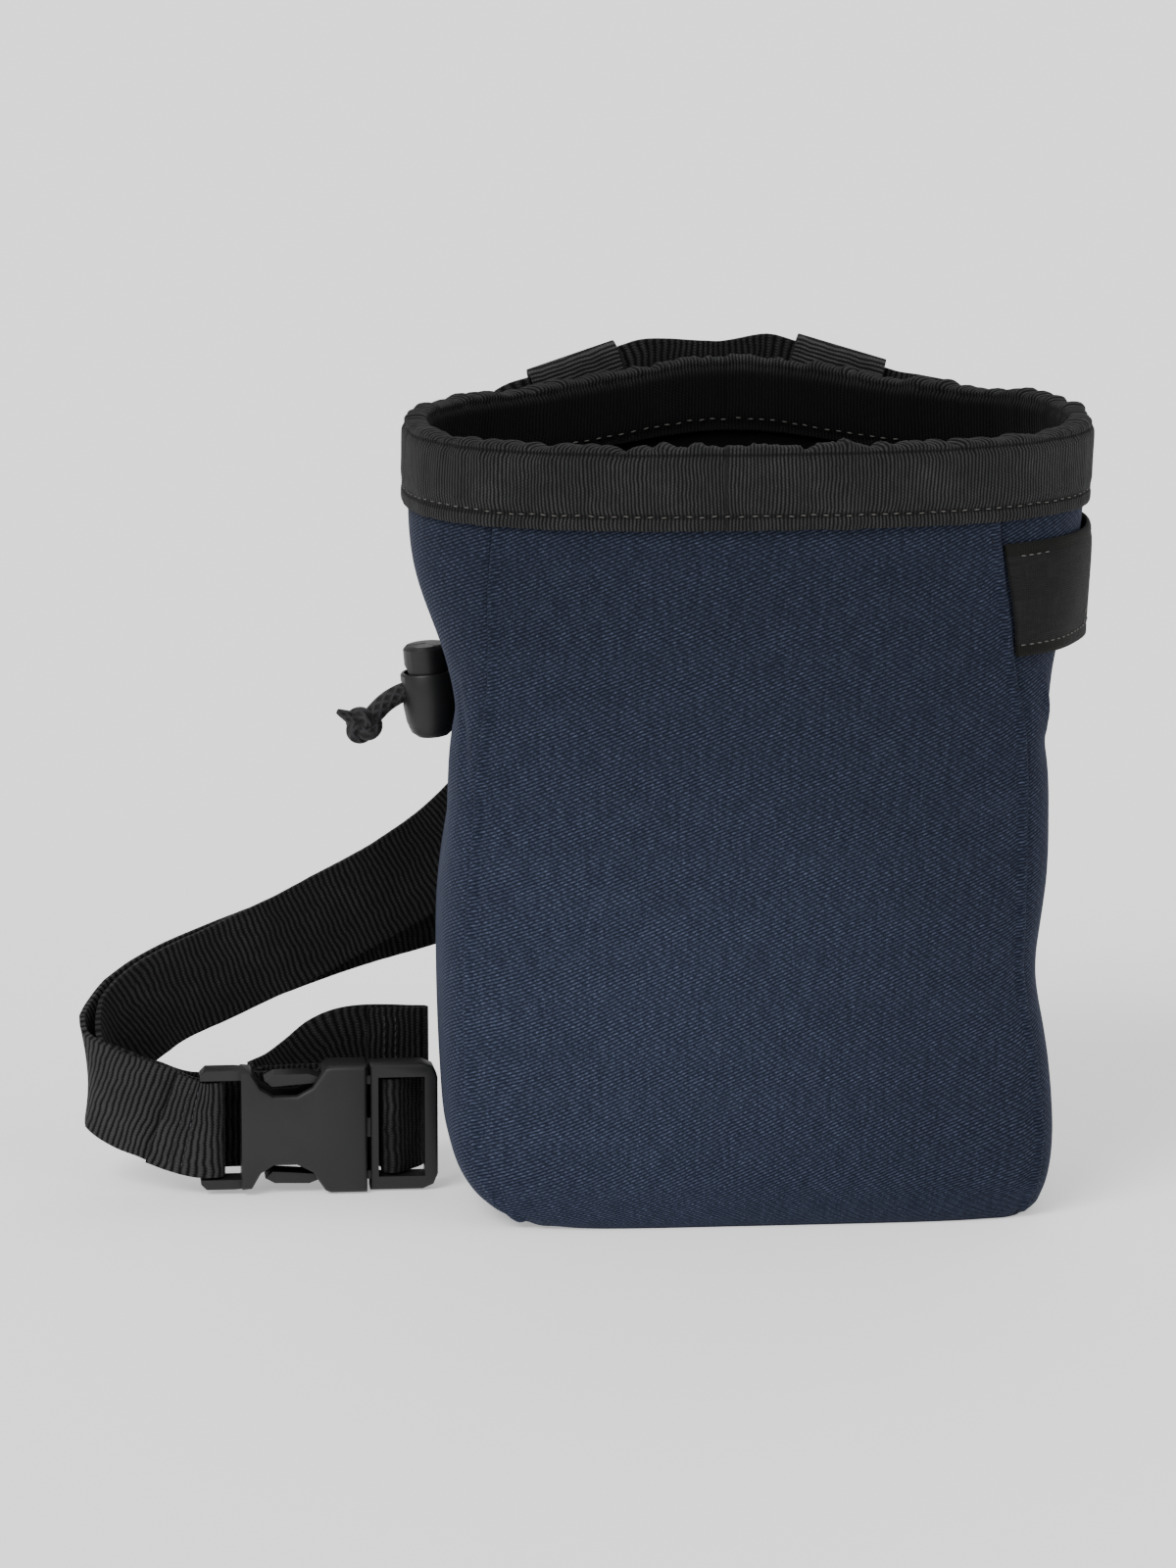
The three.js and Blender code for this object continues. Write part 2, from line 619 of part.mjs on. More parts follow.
// The strap at the buckle's ends, in the buckle's frame. x and up are shares of BELT.width, and y
// is in thicknesses of the strap. Each table says where x and y start.
// From the end of the fold that is sewn back, and from the buckle's middle plane
const SEWN_END = [
  { x: 0.12, y: -0.8, up: 0.128 },
  { x: 0.36, y: -1.333, up: 0.04 },
];

// From the male half's bar, and from the strap lying flat on the buckle's back
const TO_MALE_BAR = [{ x: -0.296, y: 0.333, up: 0 }];

// From the male half's bar, and from its middle
const AT_MALE_BAR = [{ x: -0.1, y: 3.467, up: 0 }];
const PAST_MALE_BAR = [
  { x: 0.184, y: 1.2, up: 0 },
  { x: 0.288, y: 3.333, up: 0 },
  { x: 0.332, y: 5.733, up: 0 },
  { x: 0.288, y: 8.133, up: 0 },
];

// From the male half's bar, and from the bight behind it
const FREE_END = [
  { x: 0.144, y: 0, up: 0 },
  { x: -0.12, y: 0.667, up: 0 },
  { x: -0.56, y: 1.067, up: 0 },
  { x: -1.0, y: 1.2, up: -0.008 },
  { x: -1.3, y: 1.333, up: -0.016 },
  { x: -1.4, y: 2.4, up: 0 },
  { x: -1.288, y: 3.467, up: 0.032 },
  { x: -1.04, y: 3.467, up: 0.132 },
  { x: -0.76, y: 3.467, up: 0.332 },
  { x: -0.58, y: 3.4, up: 0.488 },
  { x: -0.4, y: 3.333, up: 0.568 },
  { x: -0.16, y: 3.333, up: 0.588 },
];

// From the free end's fold, which lies at the buckle's end, and from where the strap comes to it
const HEM_FOLD = [
  { x: -0.12, y: 0, up: 0.568 },
  { x: -0.052, y: -0.19, up: 0.568 },
  { x: -0.036, y: -0.633, up: 0.568 },
  { x: -0.052, y: -1.077, up: 0.568 },
  { x: -0.12, y: -1.267, up: 0.568 },
];

const BAR_LEAD = 2.5; // how far before and after a bar the strap already lies along its way
const BIGHT_DEPTH = 7.2; // of the bight behind the male half's end, in thicknesses of the strap
const HEM_INSET = 0.633; // of the free end's fold from the buckle's end, in thicknesses of the strap

/** Stations of the belt from a table of its places at the buckle, and where the table starts. */
function atBuckle(table, startX, startY) {
  return table.map(({ x, y, up }) => (
    buckleStation(startX + x * BELT.width, startY + y * BELT.thick, up * BELT.width)));
}

/** Stations of the belt before, in and after a loop, from its right to its left. */
function throughLoop(place) {
  const { at, along, edge } = loopPlace(place);
  const [near, far] = [LOOP.width / 2 + LOOP.lead, LOOP.width / 2 + LOOP.reach];
  return [far, near, -near, -far].map((by) => ({ at: at.clone().addScaledVector(along, by), edge }));
}

/** The whole route of the strap, from the sewn end round to the hem of the free end. */
function beltStations() {
  const lie = GAP + BELT.thick / 2;
  const wrapFemale = BUCKLE.femaleBar / 2 + lie;
  const skin = BUCKLE.thick / 2 + lie;
  const bight = BUCKLE.endThick / 2 + BIGHT_DEPTH * BELT.thick;
  const tail = bight + FREE_END.at(-1).y * BELT.thick;
  const last = HEM_FOLD.at(-1);
  const fold = HALF - HEM_INSET * BELT.thick;
  return [
    ...atBuckle(SEWN_END, -HALF - BELT.foldBack, 0),
    buckleStation(femaleBarX - BAR_LEAD, -wrapFemale),
    ...barTurn(femaleBarX, wrapFemale, -90, 90),
    buckleStation(femaleBarX - BAR_LEAD, wrapFemale),
    ...OUTER_TURN.map(station),
    ...BEHIND_TO_RIGHT.map(station),
    ...throughLoop('right'),
    loopPlace('middle'),
    ...throughLoop('left'),
    ...BEHIND_TO_LEFT.map(station),
    ...INNER_TURN.map(station),
    ...BEHIND_BUCKLE.map(({ x, y }) => buckleStation(x * HALF, skin + y * BELT.thick)),
    ...atBuckle(TO_MALE_BAR, maleBarX, skin),
    ...atBuckle(AT_MALE_BAR, maleBarX, 0),
    ...barTurn(maleBarX, BUCKLE.barRadius + lie, 180, 315),
    ...atBuckle(PAST_MALE_BAR, maleBarX, 0),
    ...atBuckle(FREE_END, maleBarX, bight),
    ...atBuckle(HEM_FOLD, fold, tail),
    buckleStation(fold - BELT.hem, tail + last.y * BELT.thick, last.up * BELT.width),
  ];
}

/** The strap swept along its stations with its own width and thickness. */
function beltGeometry() {
  const stations = beltStations();
  const curve = new THREE.CatmullRomCurve3(stations.map((s) => s.at), false, 'centripetal');
  const spans = stations.length - 1;
  const rings = [];
  for (let i = 0; i <= spans; i += 1) {
    const far = i < spans ? stations[i].at.distanceTo(stations[i + 1].at) : 0;
    const steps = i < spans ? Math.max(1, Math.round(far / 8)) : 1;
    for (let k = 0; k < steps; k += 1) {
      const t = Math.min(1, (i + k / steps) / spans);
      const point = curve.getPoint(t);
      const ahead = curve.getPoint(Math.min(1, t + 2e-4)).sub(curve.getPoint(Math.max(0, t - 2e-4)));
      const tangent = ahead.normalize();
      const edge = stations[i].edge.clone().lerp(stations[Math.min(i + 1, spans)].edge, k / steps);
      edge.addScaledVector(tangent, -edge.dot(tangent)).normalize();
      const face = tangent.clone().cross(edge).multiplyScalar(BELT.thick / 2);
      edge.multiplyScalar(BELT.width / 2);
      rings.push([[1, 1], [1, -1], [-1, -1], [-1, 1]].map(([up, out]) => (
        point.clone().addScaledVector(edge, up).addScaledVector(face, out))));
    }
  }
  return ringBody(rings);
}

// The belt loops
/** A flat webbing ring round the belt, straight along it at its place on the rim. */
function loopGeometry(side) {
  const { at, along } = loopPlace(side);
  const up = vec(0, 0, 1).addScaledVector(along, -along.z).normalize();
  const out = along.clone().cross(up).normalize();
  const [inY, inZ] = [BELT.thick / 2 + LOOP.room, BELT.width / 2 + LOOP.room];
  const [outY, outZ] = [inY + LOOP.cloth, inZ + LOOP.cloth];
  const ring = roundedRing(outY, outZ);
  ring.holes.push(roundedRing(inY, inZ));
  const body = new THREE.ExtrudeGeometry(ring, { depth: LOOP.width, bevelEnabled: false, curveSegments: 4 });
  body.translate(0, 0, -LOOP.width / 2);
  body.applyMatrix4(new THREE.Matrix4().makeBasis(out, up, along).setPosition(at));
  return geometryOf(solid(body));
}

/** A flat ring's outline with round ends. */
function roundedRing(halfThick, halfTall) {
  const ring = new THREE.Shape();
  ring.moveTo(halfThick, -halfTall + halfThick);
  ring.lineTo(halfThick, halfTall - halfThick);
  ring.absarc(0, halfTall - halfThick, halfThick, 0, Math.PI, false);
  ring.lineTo(-halfThick, -halfTall + halfThick);
  ring.absarc(0, -halfTall + halfThick, halfThick, Math.PI, 2 * Math.PI, false);
  return ring;
}

// The brush loop's course in plan. round is the angle in degrees from the right front seam, stand
// how far it stands off the cloth: 0 lies on it, and 1 is straight below the body's own outline at
// the strip's upper edge.
const BRUSH_COURSE = [
  { round: 0.8, stand: 0.00 },
  { round: 4, stand: 0.00 },
  { round: 8, stand: 0.05 },
  { round: 13, stand: 0.25 },
  { round: 19, stand: 0.60 },
  { round: 26, stand: 0.90 },
  { round: 33, stand: 1.00 },
  { round: 40, stand: 0.95 },
  { round: 46, stand: 0.70 },
  { round: 51, stand: 0.30 },
  { round: 55, stand: 0.05 },
  { round: 59, stand: 0.00 },
];

/** The strip that holds a brush, laid on the cloth at both ends and standing off it between. */
function brushGeometry() {
  const rows = 4;
  const high = BAG.height - RIM.drop - BRUSH.underRim;
  const outer = [];
  const inner = [];
  for (const { round, stand } of BRUSH_COURSE) {
    const [outs, ins] = [[], []];
    for (let j = 0; j < rows; j += 1) {
      const z = high + BRUSH.height * (j / (rows - 1) - 1);
      const angle = THREE.MathUtils.degToRad(round) - seamAngle('right', upAt(z), false);
      const normal = bodyNormal(angle, upAt(z));
      const near = bodyPoint(angle, upAt(z)).addScaledVector(normal, GAP);
      const clear = bodyPoint(angle, upAt(high), []).addScaledVector(normal, BRUSH.clear);
      clear.setZ(near.z).setX(Math.max(clear.x, near.x));
      const point = near.lerp(clear, stand);
      ins.push(point);
      outs.push(point.clone().addScaledVector(normal, BRUSH.cloth));
    }
    outer.push(outs);
    inner.push(ins);
  }
  return sheetBody(outer, inner);
}

// The cord lock, built round its own axis with its origin at the middle of the barrel's top edge
/** The cup: a bullet-shaped barrel with a bore from the top and a cross hole for the cord. */
function barrelGeometry() {
  const [r, bore, h] = [LOCK.radius, LOCK.radius - LOCK.wall, LOCK.height];
  const profile = [
    [0, -h], [0.55 * r, -h + 0.25], [0.78 * r, -h + 1.6], [0.92 * r, -h + 4.5], [r, -h + 9],
    [r, -0.5], [r - 0.35, 0], [bore, 0], [bore, -h + 3], [0, -h + 3],
  ].map(([x, y]) => new THREE.Vector2(x, y));
  const cup = solid(new THREE.LatheGeometry(profile, 24).rotateX(Math.PI / 2));
  return geometryOf(cup.subtract(crossHole(0)));
}

/** The slot that the cord goes through, tall enough below or above for a travel. */
function crossHole(travel) {
  const shape = new THREE.Shape();
  shape.absarc(0, travel, LOCK.hole, 0, Math.PI, false);
  shape.absarc(0, 0, LOCK.hole, Math.PI, 2 * Math.PI, false);
  const depth = 4 * LOCK.radius;
  const slot = new THREE.ExtrudeGeometry(shape, { depth, bevelEnabled: false, curveSegments: 8 });
  slot.translate(0, 0, -depth / 2);
  slot.rotateX(Math.PI / 2).rotateZ(Math.PI / 2);
  return solid(slot.translate(0, 0, -LOCK.holeDrop));
}

/** The button: a plunger in the cup's bore with a slot for the cord and a rounded top. */
function buttonGeometry() {
  const r = LOCK.radius - LOCK.wall - GAP;
  const top = LOCK.buttonRise;
  const low = top - LOCK.buttonLength + LOCK.travel + 0.6;
  const profile = [
    [0, low], [r, low], [r, top - 0.9], [r - 0.9, top], [0, top + 0.2],
  ].map(([x, y]) => new THREE.Vector2(x, y));
  const body = solid(new THREE.LatheGeometry(profile, 24).rotateX(Math.PI / 2));
  const groove = block(vec(-r, -0.35, top - 0.4), vec(0.1, 0.35, top + 1));
  return geometryOf(body.subtract(crossHole(LOCK.travel)).subtract(groove));
}

// The cord's route, chosen by hand, from the cloth of the left side through the lock to the knot
const CORD_ROUTE = [
  [-69.0, 14.4, 133.1],
  [-73.2, 14.2, 132.05],
  [-76.9, 14.0, 131.55],
  [-80.9, 14.0, 131.65],
  [-84.9, 14.0, 131.85],
  [-88.5, 13.7, 130.75],
  [-91.9, 13.0, 128.75],
  [-94.3, 12.3, 126.55],
];

const IN_LOCK = 3; // the row of the route that lies in the lock's hole
const KNOT_AT = vec(-97.7, 11.4, 123.35);
const KNOT_TAIL = vec(-6.4, -1.6, 4.6);

/** The cord as a plain round tube. */
function cordGeometry() {
  const curve = new THREE.CatmullRomCurve3(CORD_ROUTE.map((p) => vec(...p)), false, 'centripetal');
  const section = new THREE.Shape();
  for (let k = 0; k < CORD.sides; k += 1) {
    const angle = (k / CORD.sides) * 2 * Math.PI;
    const [x, y] = [CORD.diameter / 2 * Math.cos(angle), CORD.diameter / 2 * Math.sin(angle)];
    if (k === 0) section.moveTo(x, y);
    else section.lineTo(x, y);
  }
  section.closePath();
  return new THREE.ExtrudeGeometry(section, { steps: 14, bevelEnabled: false, extrudePath: curve });
}

/** The knot with the cord's short frayed tail. */
function knotGeometry() {
  const ball = solid(new THREE.SphereGeometry(KNOT.radius, 14, 10).rotateX(Math.PI / 2)
    .scale(1, 0.9, 0.98));
  const tail = new THREE.CylinderGeometry(0.8, 2.4, KNOT.tail, 10);
  tail.translate(0, KNOT.tail / 2, 0);
  const turn = new THREE.Quaternion().setFromUnitVectors(vec(0, 1, 0), KNOT_TAIL.clone().normalize());
  tail.applyQuaternion(turn);
  return geometryOf(ball.add(solid(tail)));
}

// The assembly
const CANVAS = { color: 0x28324a, roughness: 0.95, metalness: 0 };
const WEBBING = { color: 0x222325, roughness: 0.85, metalness: 0 };
const PLASTIC = { color: 0x1d1e20, roughness: 0.45, metalness: 0 };
const CORD_CLOTH = { color: 0x1b1c1e, roughness: 0.9, metalness: 0 };

const bag = new THREE.Group();

/** Adds a named piece to a group. */
function piece(group, name, geometry, finish) {
  const mesh = new THREE.Mesh(geometry, new THREE.MeshStandardMaterial(finish));
  mesh.name = name;
  group.add(mesh);
  return mesh;
}

piece(bag, 'front_panel', panelGeometry('front', SEAM_COLUMNS.face), CANVAS);
piece(bag, 'back_panel', panelGeometry('back', SEAM_COLUMNS.face), CANVAS);
piece(bag, 'side_panel_left', panelGeometry('side_left', SEAM_COLUMNS.side), CANVAS);
piece(bag, 'side_panel_right', panelGeometry('side_right', SEAM_COLUMNS.side), CANVAS);
piece(bag, 'base_panel', baseGeometry(), CANVAS);
piece(bag, 'rim_band', rimGeometry(), WEBBING);
piece(bag, 'belt_loop_left', loopGeometry('left'), WEBBING);
piece(bag, 'belt_loop_right', loopGeometry('right'), WEBBING);
piece(bag, 'waist_belt', beltGeometry(), WEBBING);
piece(bag, 'brush_loop', brushGeometry(), WEBBING);

const buckle = new THREE.Group();
buckle.position.copy(buckleMiddle());
piece(buckle, 'buckle_female', femaleGeometry(), PLASTIC);
piece(buckle, 'buckle_male', maleGeometry(), PLASTIC);
bag.add(buckle);

const lock = new THREE.Group();
lock.position.set(...CORD_ROUTE[IN_LOCK]).add(vec(0, 0, LOCK.holeDrop));
lock.rotation.y = -THREE.MathUtils.degToRad(LOCK.lean);
piece(lock, 'cord_lock_barrel', barrelGeometry(), PLASTIC);
piece(lock, 'cord_lock_button', buttonGeometry(), PLASTIC);
bag.add(lock);

piece(bag, 'drawcord', cordGeometry(), CORD_CLOTH);
piece(bag, 'cord_knot', knotGeometry(), CORD_CLOTH).position.copy(KNOT_AT);

export default bag;
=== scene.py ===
"""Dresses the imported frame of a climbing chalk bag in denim, ribbed binding, webbing, stitches and plastic.

Metres, +Z up, the front towards -Y. Soft pieces start from welded copies of the solids that they stand for.
"""

import bisect
import logging
import math
from collections.abc import Callable, Iterable, Sequence
from dataclasses import dataclass, field
from enum import Enum
from typing import ClassVar

import bmesh
import bpy
from mathutils import Matrix, Vector, noise
from mathutils.bvhtree import BVHTree
from mathutils.geometry import interpolate_bezier
from mathutils.kdtree import KDTree


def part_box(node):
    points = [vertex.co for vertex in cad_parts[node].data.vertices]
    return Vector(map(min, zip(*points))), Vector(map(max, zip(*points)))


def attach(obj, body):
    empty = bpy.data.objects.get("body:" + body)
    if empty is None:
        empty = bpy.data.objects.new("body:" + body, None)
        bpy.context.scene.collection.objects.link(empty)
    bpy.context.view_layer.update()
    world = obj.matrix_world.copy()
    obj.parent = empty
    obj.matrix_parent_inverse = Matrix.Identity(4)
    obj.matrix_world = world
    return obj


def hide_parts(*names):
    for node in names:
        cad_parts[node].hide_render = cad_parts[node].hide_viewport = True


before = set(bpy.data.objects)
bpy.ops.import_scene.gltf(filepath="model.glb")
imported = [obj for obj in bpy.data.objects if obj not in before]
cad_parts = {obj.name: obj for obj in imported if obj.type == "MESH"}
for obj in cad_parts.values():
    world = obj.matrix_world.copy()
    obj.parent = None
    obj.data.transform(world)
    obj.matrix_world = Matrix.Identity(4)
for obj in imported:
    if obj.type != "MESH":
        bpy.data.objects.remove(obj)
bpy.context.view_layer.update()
LOG = logging.getLogger("chalk_bag")

MM = 0.001
UP = Vector((0.0, 0.0, 1.0))
BAG_BODY = "bag"
BUTTON_BODY = "button"
CLOTH_MAP = "cloth"  # the UV map, in metres, that every woven finish reads

Colour = tuple[float, float, float]
Socket = bpy.types.NodeSocket
Source = bpy.types.NodeSocket | float


def srgb(red: int, green: int, blue: int) -> Colour:
    """Turns a screen colour into the linear colour that a shader takes.

    Args:
        red: Red from 0 to 255.
        green: Green from 0 to 255.
        blue: Blue from 0 to 255.

    Returns:
        The linear colour.
    """

    def linear(level: int) -> float:
        """One channel made linear."""
        share = level / 255
        return share / 12.92 if share <= 0.04045 else ((share + 0.055) / 1.055) ** 2.4

    return linear(red), linear(green), linear(blue)


# Node graphs


class Graph:
    """One material's node graph, with short ways to add nodes and join them."""

    def __init__(self, name: str, roughness: float, specular: float = 0.35) -> None:
        """Starts a material with a principled shader.

        Args:
            name: The material's name.
            roughness: The shader's roughness where nothing is joined to it.
            specular: The shader's specular level.
        """
        self.material = bpy.data.materials.new(name)
        self.material.use_nodes = True
        self.tree = self.material.node_tree
        self.shader = self.tree.nodes["Principled BSDF"]
        self.shader.inputs["Roughness"].default_value = roughness
        self.shader.inputs["Specular IOR Level"].default_value = specular

    def feed(self, socket: Socket, source: Source) -> None:
        """Joins a socket to another node's output, or sets it to a number."""
        if isinstance(source, bpy.types.NodeSocket):
            self.tree.links.new(source, socket)
        else:
            socket.default_value = source

    def math(self, operation: str, *sources: Source) -> Socket:
        """Adds a math node.

        Args:
            operation: The node's operation.
            *sources: Its inputs in order.

        Returns:
            The node's output.
        """
        node = self.tree.nodes.new("ShaderNodeMath")
        node.operation = operation
        for socket, source in zip(node.inputs, sources):
            self.feed(socket, source)
        return node.outputs[0]

    def times(self, one: Source, other: Source) -> Socket:
        """The product of two numbers."""
        return self.math("MULTIPLY", one, other)

    def times_plus(self, one: Source, other: Source, added: Source) -> Socket:
        """The product of two numbers, and a third added to it."""
        return self.math("MULTIPLY_ADD", one, other, added)

    def plus(self, one: Source, other: Source) -> Socket:
        """The sum of two numbers."""
        return self.math("ADD", one, other)

    def less(self, one: Source, other: Source) -> Socket:
        """One number less another."""
        return self.math("SUBTRACT", one, other)

    def cloth_axes(self) -> tuple[Socket, Socket]:
        """The two coordinates, in metres, of the piece's own UV map."""
        node = self.tree.nodes.new("ShaderNodeUVMap")
        node.uv_map = CLOTH_MAP
        split = self.tree.nodes.new("ShaderNodeSeparateXYZ")
        self.tree.links.new(node.outputs[0], split.inputs[0])
        return split.outputs[0], split.outputs[1]

    def joined(self, across: Source, along: Source, third: Source = 0.0) -> Socket:
        """Three numbers as one vector."""
        node = self.tree.nodes.new("ShaderNodeCombineXYZ")
        for socket, source in zip(node.inputs, (across, along, third)):
            self.feed(socket, source)
        return node.outputs[0]

    def place(self) -> Socket:
        """The object coordinates, which are the row frame's own."""
        return self.tree.nodes.new("ShaderNodeTexCoord").outputs["Object"]

    def noise(self, vector: Socket, scale: float, detail: float = 2.0, roughness: float = 0.5) -> Socket:
        """Adds a noise texture.

        Args:
            vector: Where it is read.
            scale: Its scale.
            detail: How many finer layers it has.
            roughness: How strong those are.

        Returns:
            Its value, from 0 to 1.
        """
        node = self.tree.nodes.new("ShaderNodeTexNoise")
        node.inputs["Scale"].default_value = scale
        node.inputs["Detail"].default_value = detail
        node.inputs["Roughness"].default_value = roughness
        self.tree.links.new(vector, node.inputs["Vector"])
        return node.outputs[0]

    def wave(self, coordinate: Source, pitch: float) -> Socket:
        """A smooth wave from 0 to 1 along a coordinate.

        Args:
            coordinate: Where it is read, in metres.
            pitch: Its length in metres.

        Returns:
            The wave.
        """
        turn = self.math("MULTIPLY", coordinate, 2 * math.pi / pitch)
        return self.math("MULTIPLY_ADD", self.math("SINE", turn), 0.5, 0.5)

    def ramp(self, value: Socket, low: float, high: float) -> Socket:
        """A value stretched so that low gives 0 and high gives 1, held between them."""
        node = self.tree.nodes.new("ShaderNodeMapRange")
        node.interpolation_type = "SMOOTHSTEP"
        self.feed(node.inputs["Value"], value)
        node.inputs["From Min"].default_value = low
        node.inputs["From Max"].default_value = high
        return node.outputs["Result"]

    def band(self, value: Socket, middle: float, half: float) -> Socket:
        """1 at a place along a coordinate, falling to 0 at half a width from it."""
        off = self.math("ABSOLUTE", self.math("SUBTRACT", value, middle))
        return self.math("SUBTRACT", 1.0, self.ramp(off, 0.0, half))

    def blended(self, share: Source, low: Colour | Socket, high: Colour | Socket) -> Socket:
        """A colour between two.

        Args:
            share: 0 for low and 1 for high.
            low: The first colour.
            high: The second colour.

        Returns:
            The colour.
        """
        node = self.tree.nodes.new("ShaderNodeMix")
        node.data_type = "RGBA"
        self.feed(node.inputs["Factor"], share)
        colours = [socket for socket in node.inputs if socket.type == "RGBA"]
        for socket, colour in zip(colours, (low, high)):
            self.feed(socket, colour if isinstance(colour, bpy.types.NodeSocket) else (*colour, 1.0))
        return next(socket for socket in node.outputs if socket.type == "RGBA")

    def scaled(self, colour: Socket, share: Source) -> Socket:
        """A colour made lighter or darker by a number."""
        node = self.tree.nodes.new("ShaderNodeVectorMath")
        node.operation = "SCALE"
        self.tree.links.new(colour, node.inputs[0])
        self.feed(node.inputs["Scale"], share)
        return node.outputs[0]

    def near(self, x: float, z: float, reach: float) -> Socket:
        """1 at a place seen from the front, falling to 0 at a reach from it."""
        split = self.tree.nodes.new("ShaderNodeSeparateXYZ")
        self.tree.links.new(self.place(), split.inputs[0])
        squares = [
            self.math("POWER", self.less(split.outputs[axis], at), 2.0)
            for axis, at in (("X", x), ("Z", z))
        ]
        far = self.math("SQRT", self.math("ADD", *squares))
        return self.math("SUBTRACT", 1.0, self.ramp(far, 0.0, reach))

    def raised(self, height: Socket, distance: float, strength: float = 1.0) -> None:
        """Gives the surface a bump.

        Args:
            height: Its height from 0 to 1.
            distance: What a height of 1 stands for, in metres.
            strength: How much of it is used.
        """
        node = self.tree.nodes.new("ShaderNodeBump")
        node.inputs["Strength"].default_value = strength
        node.inputs["Distance"].default_value = distance
        self.tree.links.new(height, node.inputs["Height"])
        self.tree.links.new(node.outputs[0], self.shader.inputs["Normal"])

    def painted(self, colour: Socket) -> None:
        """Gives the surface a colour that changes over it."""
        self.tree.links.new(colour, self.shader.inputs["Base Color"])

    def roughened(self, value: Socket) -> None:
        """Gives the surface a roughness that changes over it."""
        self.tree.links.new(value, self.shader.inputs["Roughness"])

    def sheen(self, weight: float, roughness: float, tint: Colour) -> None:
        """Gives cloth its soft edge light."""
        self.shader.inputs["Sheen Weight"].default_value = weight
        self.shader.inputs["Sheen Roughness"].default_value = roughness
        self.shader.inputs["Sheen Tint"].default_value = (*tint, 1.0)


# Finishes


@dataclass(frozen=True)
class Twill:
    """Denim-like twill: rows of short pale dashes that rise to the right, with upright slubs, and a painted
    pool of light to the lower left.
    """

    name: str = "denim_twill"
    deep: Colour = srgb(12, 15, 24)
    middle: Colour = srgb(34, 40, 58)
    speck: Colour = srgb(104, 114, 142)
    line_pitch: float = 0.84 * MM
    lean_deg: float = 21.0
    dash_pitch: float = 1.9 * MM
    relief: float = 0.13 * MM
    painted_light_spot: tuple[float, float, float] = (-45 * MM, 48 * MM, 150 * MM)  # x and z of the middle of the painted pool of light, and its reach
    dimmest: float = 0.47
    palest: float = 0.78

    def material(self) -> bpy.types.Material:
        """Builds the finish."""
        graph = Graph(self.name, 0.92, 0.1)
        across, along = graph.cloth_axes()
        place = graph.joined(across, along)
        lean = math.radians(self.lean_deg)
        line = graph.less(graph.times(along, math.cos(lean)), graph.times(across, math.sin(lean))
        )
        line = graph.times_plus(graph.noise(place, 90, 2), 0.8 * self.line_pitch, line)
        step = graph.math("FLOOR", graph.math("DIVIDE", line, self.line_pitch))
        shift = graph.times(step, 0.43 * self.dash_pitch)
        rows = graph.wave(line, self.line_pitch)
        dashes = graph.wave(graph.plus(across, shift), self.dash_pitch)
        slub = graph.noise(graph.joined(across, graph.times(along, 0.16)), 820, 2, 0.6)
        fine = graph.noise(place, 1500, 2, 0.7)
        cloud = graph.noise(place, 30, 3, 0.6)
        woven = graph.times(rows, graph.times_plus(dashes, 0.55, 0.45))
        specks = graph.times(woven, graph.times_plus(graph.ramp(fine, 0.38, 0.7), 0.7, 0.3))
        specks = graph.times(specks, graph.times_plus(graph.ramp(slub, 0.3, 0.7), 0.4, 0.55))
        ground = graph.times_plus(woven, 0.55, graph.times_plus(slub, 0.3, 0.2))
        colour = graph.blended(specks, graph.blended(ground, self.deep, self.middle), self.speck)
        # Painted light: the cloth is paler in a broad patch to the lower left, as if lit more strongly there,
        # and dimmer elsewhere.
        fade = graph.times_plus(graph.near(*self.painted_light_spot), self.palest - self.dimmest, self.dimmest)
        colour = graph.scaled(colour, graph.times(fade, graph.times_plus(cloud, 0.24, 0.88)))
        graph.painted(colour)
        graph.raised(graph.times_plus(fine, 0.35, woven), self.relief)
        graph.sheen(0.12, 0.45, srgb(140, 148, 175))
        return graph.material


@dataclass(frozen=True)
class Fleece:
    """The dark napped cloth inside the bag."""

    name: str = "dark_fleece"
    deep: Colour = srgb(8, 8, 9)
    pale: Colour = srgb(20, 20, 22)

    def material(self) -> bpy.types.Material:
        """Builds the finish."""
        graph = Graph(self.name, 0.98, 0.02)
        nap = graph.noise(graph.place(), 900, 4, 0.7)
        tufts = graph.noise(graph.place(), 160, 3, 0.6)
        graph.painted(graph.blended(graph.times(nap, tufts), self.deep, self.pale))
        graph.raised(graph.times_plus(tufts, 1.5, nap), 0.5 * MM, 0.8)
        graph.sheen(0.15, 0.6, srgb(90, 90, 95))
        return graph.material


